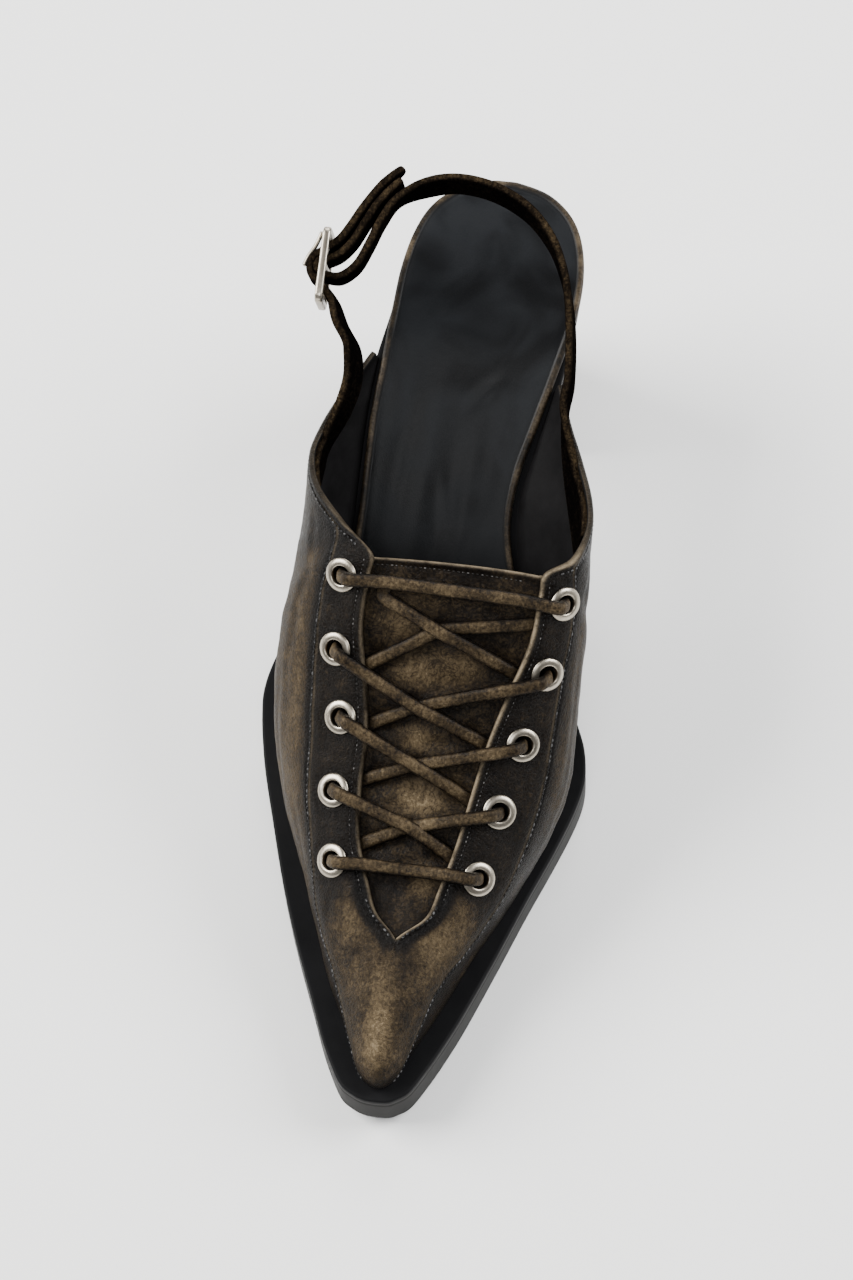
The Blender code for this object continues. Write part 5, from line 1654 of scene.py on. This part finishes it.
class Heel:
    """Covered block heel and its wearing piece."""

    def __init__(self, last: Last) -> None:
        self.last = last
        stations = np.interp(np.linspace(0.0, 8.0, 65), np.arange(9.0), HEEL_STATIONS)
        rows = smooth(SOLE_OUTLINE, stations)
        middle = rows[:, 1:].mean(axis=1, keepdims=True)
        rows[:, 1:] = middle + (rows[:, 1:] - middle) * last.sizes.heel_inset
        rows[-1, 0] -= last.sizes.heel_back_gap
        self.rows = rows

    def _section(self, scale: float) -> FloatArray:
        taper = self.last.sizes.heel_taper
        rows = self.rows.copy()
        lean = self.last.sizes.heel_back_lean
        back = rows[-1, 0]
        centre = rows[:, 1:].mean()
        rows[:, 0] = back - lean * (1.0 - scale) / (1.0 - taper) - (back - self.rows[:, 0]) * scale
        rows[:, 1:] = centre + (self.rows[:, 1:] - centre) * scale
        return rows

    def _block(self, name: str, levels, material, slot: Piece, node: str) -> None:
        """Stack rings of (scale, height of each row) and close both ends."""
        skin = Skin()
        rings = []
        for scale, height in levels:
            rows = self._section(scale)
            x = np.concatenate([rows[:, 1], rows[::-1, 2]])
            a = np.concatenate([rows[:, 0], rows[::-1, 0]])
            z = np.concatenate([height, height[::-1]])
            rings.append(np.column_stack([x, a, z]))
        rings = np.array(rings)
        skin.add(rings, grid_faces(len(rings), rings.shape[1], wrap=True))
        half = len(self.rows)
        for ring in (rings[0], rings[-1]):
            share = np.linspace(0.0, 1.0, 8)[None, :, None]
            grid = ring[:half, None] * (1.0 - share) + ring[half:][::-1][:, None] * share
            skin.add(grid, grid_faces(half, 8))
        install(skin.build(name, self.last, [material]), slot, node)

    def build(self, cover: bpy.types.Material, rubber: bpy.types.Material) -> None:
        """Build both, in place of their CAD nodes."""
        sizes = self.last.sizes
        bottom = sizes.lift_thick + sizes.gap
        top = self.last.underside(self.rows[:, 0]) - sizes.gap
        levels = []
        for rise in np.linspace(0.0, 1.0, 28):
            scale = sizes.heel_taper + (1.0 - sizes.heel_taper) * rise**1.7
            levels.append((scale, bottom * (1.0 - rise) + top * rise))
        self._block("heel_cover", levels, cover, Piece.HEEL, "heel")
        flat = np.zeros(len(self.rows))
        lift = sizes.lift_thick
        heights = (
            (0.985, 0.0), (0.996, 0.25), (1.0, 0.6), (1.0, lift - 0.4), (0.997, lift - 0.1), (0.99, lift),
        )
        levels = [(sizes.heel_taper * shrink, flat + z) for shrink, z in heights]
        self._block("heel_top_lift", levels, rubber, Piece.RUBBER, "top_lift")


# Eyelets and laces


class Eyelets:
    """Ten rolled eyelets, one joined mesh."""

    def __init__(self, last: Last, around: int = 28) -> None:
        self.last = last
        self.around = around

    def build(self, nickel: bpy.types.Material) -> None:
        """Build them, in place of their CAD nodes."""
        sizes = self.last.sizes
        low = -sizes.wall - 0.1
        seat = sizes.panel_step + 0.05
        bore, flange = sizes.eyelet_bore, sizes.eyelet_flange - 0.15
        profile = np.array([
            (bore, low), (bore + 0.02, seat + 0.2), (bore + 0.08, seat + 0.6), (bore + 0.26, seat + 0.84),
            (bore + 0.52, seat + 0.92), (bore + 1.25, seat + 0.84), (flange - 0.5, seat + 0.66),
            (flange - 0.16, seat + 0.46), (flange, seat + 0.2), (flange - 0.1, seat),
            (sizes.eyelet_barrel + 0.1, seat), (sizes.eyelet_barrel, seat - 0.1), (sizes.eyelet_barrel, low),
        ])
        angle = np.arange(self.around) * 2.0 * math.pi / self.around
        skin = Skin()
        for x, a in self.last.eyelets():
            z, normal = self.last.face(x, a)
            side = unit(np.cross(normal, np.array([0.0, 1.0, 0.0])))
            other = np.cross(normal, side)
            ring = np.cos(angle)[:, None, None] * side + np.sin(angle)[:, None, None] * other
            points = np.array([x, a, z]) + ring * profile[:, :1] + normal * profile[:, 1:]
            loop = np.concatenate([points, points[:1]], axis=0)
            loop = np.concatenate([loop, loop[:, :1]], axis=1)
            skin.add(loop, grid_faces(*loop.shape[:2]))
        piece = skin.build("eyelets", self.last, [nickel])
        names = [f"eyelet_{side}_{n}" for n in range(1, 6) for side in ("lateral", "medial")]
        install(piece, Piece.NICKEL, *names)


class Laces:
    """Leather lace: two straight bars and four crossings, run through the eyelets."""

    def __init__(self, last: Last) -> None:
        self.last = last
        sizes = last.sizes
        self.over = sizes.panel_step + 1.15 + sizes.lace_thick / 2.0
        self.stay = sizes.panel_step + 0.15 + sizes.lace_thick / 2.0
        self.rest = -sizes.wall - sizes.tongue_gap + sizes.lace_thick / 2.0 - 0.1

    def _out_of(self, x: float, a: float, to_x: float, to_a: float) -> list[FloatArray]:
        """Path points from inside an eyelet, over its rim, towards a place."""
        way = np.array([to_x - x, to_a - a])
        way = way / np.linalg.norm(way)
        z, normal = self.last.face(x, a)
        ahead = np.array([way[0], way[1], 0.0])
        ahead = unit(ahead - normal * (ahead @ normal))
        spots = ((-0.7, -3.2), (-0.55, -1.6), (-0.2, 0.2), (0.65, 1.9), (2.2, 3.0), (4.2, 3.4))
        centre = np.array([x, a, z])
        tilt = [unit(normal * c - ahead * s) for c, s in (
            (0.2, 1.0), (0.25, 1.0), (0.4, 1.0), (0.8, 0.8), (1.0, 0.35), (1.0, 0.1))]
        drawn_height = 3.35
        scale = self.over / drawn_height
        return [
            np.concatenate([centre + ahead * along + normal * lift * (scale if lift > 0 else 1.0), up])
            for (along, lift), up in zip(spots, tilt)
        ]

    def _sweep(self, skin: Skin, rows: list[FloatArray], thin=(1.0, 1.0)) -> None:
        """Lay the lace along (place, face direction) rows, its ends thinned by the given shares."""
        rows = np.array(rows)
        run = arc_length(rows[:, :3])
        pitch = 0.45
        press_length = 7.0
        corner_radius = 1.36
        count = int(run[-1] / pitch)
        spots = np.linspace(0.0, run[-1], count)
        dense = smooth(rows, np.interp(spots, run, np.arange(float(len(rows)))))
        path, up = dense[:, :3], unit(dense[:, 3:])
        sizes = self.last.sizes
        ends = ((thin[0], 0.0), (1.0, press_length), (1.0, run[-1] - press_length), (thin[1], run[-1]))
        press = np.interp(spots, [e[1] for e in ends], [e[0] for e in ends])
        thick = sizes.lace_thick * press
        width = sizes.lace_width * (1.0 + 0.25 * (1.0 - press))
        # The pressed ends, under the slot's far edge, are darkened by painted shade.
        sweep(skin, path, up, width, thick, corner_radius, across=5, corner=6, cap=0.6,
              tone=0.09 + 0.07 * np.sin(spots * 0.4 + rows[0, 0]), shade=0.9 * (1.0 - press), edge=0.0)

    def _taut(self, fx: float, fa: float, tx: float, ta: float, share: float, lift: float,
              slide: float) -> FloatArray:
        """Place along a taut run, slid towards the toe where the shoe stands above the straight line."""
        x, a = fx + (tx - fx) * share, fa + (ta - fa) * share
        z = self.last.face(x, a)[0]
        chord = self.last.face(fx, fa)[0] * (1.0 - share) + self.last.face(tx, ta)[0] * share
        return self.last.lifted(x, a - slide * max(z - chord, 0.0), lift)

    def _under(self, fx: float, fa: float, tx: float, ta: float, extra: float) -> FloatArray:
        """Place beyond (tx, ta), pressed between the tongue and the far side of the slot."""
        way = np.array([tx - fx, ta - fa])
        way = way / np.linalg.norm(way) * extra
        pressed = 0.45
        between = -self.last.sizes.wall - 0.5 * self.last.sizes.tongue_gap - pressed
        return self.last.lifted(tx + way[0], ta + way[1], between)

    def build(self, leather: bpy.types.Material) -> None:
        """Build bars and crossings, each in place of its CAD node."""
        last = self.last
        for name, node, row in (
            ("top_lace_bar", "lace_bar_top", EYELETS[0]),
            ("bottom_lace_bar", "lace_bar_bottom", EYELETS[-1]),
        ):
            lx, la, rx, ra = row
            spots = self._out_of(lx, la, rx, ra - 2.0)
            for share, lift in ((0.2, self.stay - 0.1), (0.35, self.stay - 1.1), (0.5, self.stay - 1.5),
                                (0.65, self.stay - 1.1), (0.8, self.stay - 0.1)):
                spots.append(self._taut(lx, la, rx, ra, share, lift, 0.45))
            spots.extend(self._out_of(rx, ra, lx, la - 2.0)[::-1])
            skin = Skin()
            self._sweep(skin, spots)
            install(skin.build(name, last, [leather]), Piece.LACE, node)
        for number, arms in enumerate(CROSSINGS, start=1):
            skin = Skin()
            for order, (fx, fa, mx, ma, tx, ta) in enumerate(arms):
                cross = self.rest + (last.sizes.lace_thick * 0.92 if order == 0 else 0.0)
                if number == 1:
                    spots = [last.lifted(fx + 0.5, fa + 2.8, -2.3)] if order == 0 else [
                        self._under(mx, ma, fx, fa, 11.0), self._under(mx, ma, fx, fa, 7.0)]
                    spots.append(last.lifted(fx, fa, self.rest - 0.2))
                    middle = last.lifted((fx + mx) / 2, (fa + ma) / 2, (self.rest + cross) / 2 + 0.1)
                    spots.append(middle)
                else:
                    spots = self._out_of(fx, fa, mx, ma)
                    reach = math.hypot(mx - fx, ma - fa)
                    sinks = ((11.5, 0.05), (15.5, -0.25 - 0.35 * order), (20.0, -0.5 - 1.1 * order))
                    for along, lift in sinks:
                        spots.append(self._taut(fx, fa, mx, ma, along / reach, self.stay + lift, 0.6))
                spots.append(last.lifted(mx, ma, cross))
                spots.append(last.lifted((mx + tx) / 2, (ma + ta) / 2, (self.rest + cross) / 2))
                spots.append(last.lifted(tx, ta, self.rest - 0.35))
                spots.append(self._under(mx, ma, tx, ta, 4.5))
                spots.append(self._under(mx, ma, tx, ta, 7.5))
                self._sweep(skin, spots, (0.45 if number == 1 else 1.0, 0.4))
            install(skin.build(f"lace_crossing_piece_{number}", last, [leather]), Piece.LACE,
                    f"lace_crossing_{number}")


class Strap:
    """Leather strap, edge up, from its seat inside the collar through its run to its end."""

    def __init__(self, last: Last, side: Side, seat, run, turn) -> None:
        self.last = last
        rows = []
        for station, low, high in seat:
            rows.append([self._on_wall(side, station, s) for s in (low, (low + high) / 2.0, high)])
        for k, (x, a, z, width) in enumerate(run):
            lean = (-0.5 if len(run) > 4 else -1.7) * bell(float(k), 2.0, 2.2)
            rows.append([np.array([x + 2.0 * lean * half, a, z + width * half]) for half in (-0.5, 0.0, 0.5)])
        width = run[-1][-1]
        for along, outward in turn:
            lean = 2.4 * np.clip((-along - 2.0) / 13.0, 0.0, 1.0)
            rows.append([last.buckle_spot(along, outward + lean * half, width * half)
                         for half in (-0.5, 0.0, 0.5)])
        rows = np.array(rows)
        run_length = arc_length(rows[:, 1])
        count = int(run_length[-1] / 0.7)
        stations = np.interp(np.linspace(0.0, run_length[-1], count), run_length, np.arange(float(len(rows))))
        self.rows = smooth(rows, stations)

    def _on_wall(self, side: Side, station: float, share: float) -> FloatArray:
        sizes = self.last.sizes
        spot = self.last.ribs(side, [station], [share])[0, 0]
        normal = self.last.normals(side, [station], [share])[0, 0]
        return spot - normal * (sizes.wall + sizes.gap + sizes.strap_thick / 2.0)

    def build(self, name: str, node: str, leather: bpy.types.Material,
              tip: float = 0.0) -> None:
        """Build the strap, in place of its CAD node."""
        path = self.rows[:, 1]
        across = self.rows[:, 2] - self.rows[:, 0]
        width = np.linalg.norm(across, axis=1)
        along = unit(np.gradient(path, axis=0))
        across = unit(across)
        up = unit(np.cross(across, along))
        run = arc_length(path)
        if tip:
            left = np.clip((run[-1] - run) / tip, 0.0, 1.0)
            width = width * (0.3 + 0.7 * np.sqrt(left))
        tone = 0.03 + 0.04 * np.sin(run * 0.21 + 1.0)
        padding = 0.7
        corner_radius = 0.75
        skin = Skin()
        sweep(skin, path, up, width, self.last.sizes.strap_thick + padding, corner_radius, across=9, corner=5,
              cap=0.5, tone=tone, shade=0.0, edge=0.0)
        install(skin.build(name, self.last, [leather]), Piece.UPPER, node)


class Buckle:
    """Rectangular frame with rounded corners and a centre bar, and its prong."""

    def __init__(self, last: Last) -> None:
        self.last = last

    def build(self, nickel: bpy.types.Material) -> None:
        """Build frame and prong, in place of their CAD nodes."""
        last = self.last
        sizes = last.sizes
        bar = sizes.frame_bar
        half_l = sizes.frame_length / 2.0 - bar / 2.0
        half_h = sizes.frame_height / 2.0 - bar / 2.0
        radius = 1.3
        edge_radius = 0.55
        bar_steps = 12
        bar_width = 2.0
        bar_radius = 0.98
        corner = np.linspace(0.0, math.pi / 2.0, 7)
        loop = []
        for k, (sx, sy) in enumerate(((1, 1), (-1, 1), (-1, -1), (1, -1))):
            angle = corner + k * math.pi / 2.0
            centre = (sx * (half_l - radius), sy * (half_h - radius))
            loop.extend((centre[0] + radius * math.cos(t), centre[1] + radius * math.sin(t)) for t in angle)
        loop = np.array(loop)
        ahead = unit(np.roll(loop, -1, axis=0) - np.roll(loop, 1, axis=0))
        outward = np.stack([ahead[:, 1], -ahead[:, 0]], axis=1)
        section = rounded_loop([bar], [bar], edge_radius, 2, 4)[0]
        flat = loop[:, None] + outward[:, None] * section[None, :, :1]
        points = last.buckle_spot(flat[..., 0], np.broadcast_to(section[None, :, 1], flat.shape[:2]),
                                  flat[..., 1])
        ring = np.concatenate([points, points[:1]])
        skin = Skin()
        skin.add(ring, grid_faces(ring.shape[0], ring.shape[1], wrap=True))
        reach = half_h - 0.2
        path = last.buckle_spot(0.0, 0.0, np.linspace(-reach, reach, bar_steps))
        up = np.repeat(np.array([[-1.0, 0.0, 0.0]]), bar_steps, axis=0)
        sweep(skin, path, up, bar_width, bar_width, bar_radius, across=2, corner=4)
        install(skin.build("buckle_frame", last, [nickel]), Piece.NICKEL, "buckle_frame")
        rows = np.array([(0.6, 5.9), (3.2, 5.0), (6.4, 3.4), (10.2, 2.2)])
        prong_steps = 24
        prong_thick = 1.3
        prong_radius = 0.6
        rows = smooth(rows, np.linspace(0.0, len(rows) - 1.0, prong_steps))
        path = last.buckle_spot(rows[:, 0], rows[:, 1], 0.0)
        up = np.repeat(np.array([[-1.0, 0.0, 0.0]]), prong_steps, axis=0)
        taper = np.linspace(1.7, 1.2, prong_steps)
        skin = Skin()
        sweep(skin, path, up, taper, prong_thick, prong_radius, across=2, corner=4)
        install(skin.build("buckle_prong", last, [nickel]), Piece.NICKEL, "buckle_prong")


# Studio


class Studio:
    """Pale floor, soft lights and the camera at the photograph's angle."""

    def floor(self) -> None:
        """Lay a plain pale floor."""
        n = Nodes("pale floor")
        cloud = n.noise(3.0, 2.0, 0.5)
        material = n.surface(Base_Color=n.mix(cloud, (0.89, 0.89, 0.88), (0.91, 0.91, 0.90)), Roughness=0.75)
        mesh = bpy.data.meshes.new("floor")
        size = 6.0
        mesh.from_pydata([(-size, -size, 0.0), (size, -size, 0.0), (size, size, 0.0), (-size, size, 0.0)],
                         [], [(0, 1, 2, 3)])
        mesh.materials.append(material)
        floor = bpy.data.objects.new("floor", mesh)
        bpy.context.scene.collection.objects.link(floor)

    def lights(self) -> None:
        """Hang soft lights and set the surroundings."""
        world = bpy.data.worlds.new("studio")
        world.use_nodes = True
        background = world.node_tree.nodes["Background"]
        background.inputs["Color"].default_value = (0.93, 0.95, 1.0, 1.0)
        background.inputs["Strength"].default_value = 0.24
        bpy.context.scene.world = world
        for name, place, aim, size, power, colour in (
            ("left", (-1.4, 0.1, 1.2), (0.0, 0.0, 0.03), 1.2, 80.0, (1.0, 0.99, 0.97)),
            ("right", (1.3, 0.5, 1.1), (0.0, 0.0, 0.03), 1.0, 48.0, (1.0, 1.0, 1.0)),
            ("back", (0.0, 1.6, 1.0), (0.0, 0.05, 0.05), 1.0, 24.0, (1.0, 1.0, 1.0)),
            ("front", (0.1, -1.1, 2.0), (0.0, -0.05, 0.03), 0.9, 18.0, (0.98, 0.99, 1.0)),
        ):
            lamp = bpy.data.lights.new(name, "AREA")
            lamp.energy = power
            lamp.size = size
            lamp.color = colour
            light = bpy.data.objects.new(name, lamp)
            bpy.context.scene.collection.objects.link(light)
            forward = unit(np.array(aim) - np.array(place))
            right = unit(np.cross(forward, np.array([0.0, 0.0, 1.0])))
            up = np.cross(right, forward)
            light.matrix_world = self._pose(place, right, up, -forward)

    @staticmethod
    def _pose(place, right, up, back) -> Matrix:
        columns = np.column_stack([right, up, back])
        matrix = np.eye(4)
        matrix[:3, :3] = columns
        matrix[:3, 3] = place
        return Matrix(matrix.tolist())

    def camera(self) -> None:
        """Set the camera where the photograph was taken, framing the one shoe."""
        lens = bpy.data.cameras.new("camera")
        lens.sensor_width = 36.0
        lens.lens = 110.0
        lens.clip_start = 0.05
        lens.clip_end = 20.0
        camera = bpy.data.objects.new("camera", lens)
        bpy.context.scene.collection.objects.link(camera)
        seen = unit(np.array([-0.0586, 0.4658, -0.8829]))
        level = unit(np.array([0.9922, 0.1249, 0.0]))
        aside = 0.0414
        upward = 0.0053
        forward = unit(seen - aside * level + upward * np.cross(level, seen))
        right = unit(level - forward * (level @ forward))
        up = np.cross(right, forward)
        place = (0.1105, -0.5160, 1.0154)
        camera.matrix_world = self._pose(place, right, up, -forward)
        bpy.context.scene.camera = camera


# The whole shoe


class Shoe:
    """Builds every piece in the maker's order."""

    def __init__(self, last: Last) -> None:
        self.last = last
        self.upper_leather = RubbedLeather("rubbed bronze leather").make()
        self.tongue_leather = RubbedLeather(
            "tongue leather", patch=0.60, streak=0.06, wrinkle=0.8, grain=0.4, crackle=0.2).make()
        # rim lightens the straps' edges: rubbed, and partly painted highlight.
        self.strap_leather = RubbedLeather(
            "strap leather", patch=0.10, streak=0.0, speckle=0.5, grain=0.4, rim=0.34, gloss=0.0).make()
        self.lining = PlainLeather("lining leather").make()
        self.nickel = SatinNickel().make()
        self.rubber = SoleRubber().make()

    def body(self) -> None:
        """Build sole, heel, insole and upper with its seams."""
        last = self.last
        Outsole(last).build(self.rubber)
        Heel(last).build(PlainLeather("heel leather", (0.0125, 0.0095, 0.007), 0.48, 0.2).make(), self.rubber)
        Insole(last).build(SockLeather().make())
        detail = UpperDetail()
        upper = Upper(last, detail)
        upper.build(self.upper_leather, self.lining)
        tongue = Tongue(last)
        tongue.build(self.tongue_leather)
        self._sew(upper, tongue, detail)

    def _sew(self, upper: Upper, tongue: Tongue, detail: UpperDetail) -> None:
        """Sew the long seams, the slot and collar edges and the tongue's top."""
        seams = Stitches(StitchSize(1.05, 0.60, 0.46, 1.5))
        edges = Stitches(StitchSize(0.70, 0.36, 0.30, 1.3))
        for side, half in upper.halves.items():
            stop = 13.9 if side is Side.LATERAL else 13.7
            seams.row(*half.line(half.from_seam, detail.seam_stitch, 0.7, stop, 0.06))
            seams.row(*half.line(half.to_edge, 1.2, 4.06, 5.5, 0.12))
            edges.row(*half.line(half.to_edge, detail.stitch_line, 5.6, 12.85, 0.08))
            seams.row(*half.line(half.to_edge, detail.stitch_line + 0.3, 13.2, 18.2, 0.08))
        edges.row(*tongue.stitch_line(3.0, 0.24, 0.76))
        seams.build("seam_stitches", self.last, Thread("black thread", glint_from=0.5).make(), Piece.UPPER)
        edges.build("edge_stitches", self.last, Thread("waxed thread", (0.012, 0.011, 0.010), 0.52).make(),
                    Piece.UPPER)

    def trim(self) -> None:
        """Build eyelets, laces, straps and buckle."""
        last = self.last
        Eyelets(last).build(self.nickel)
        # ridge lightens the laces' tops: painted highlight, partly rubbed.
        Laces(last).build(RubbedLeather(
            "lace leather", patch=0.42, streak=0.0, speckle=0.6, grain=0.4, wrinkle=0.3,
            crackle=0.05, ridge=0.44).make())
        Strap(last, Side.MEDIAL, SLING_SEAT, SLING_RUN, SLING_TURN).build(
            "sling_strap_leather", "sling_strap", self.strap_leather)
        Strap(last, Side.LATERAL, FRONT_SEAT, FRONT_RUN, FRONT_TURN).build(
            "front_strap_leather", "front_strap", self.strap_leather, 7.0)
        Buckle(last).build(self.nickel)


def main() -> None:
    """Build the scene's pieces in order."""
    logging.basicConfig(level=logging.INFO, format="%(name)s: %(message)s")
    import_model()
    shoe = Shoe(Last(Sizes()))
    shoe.body()
    shoe.trim()
    studio = Studio()
    studio.floor()
    studio.lights()
    studio.camera()


if __name__ == "__main__":
    main()
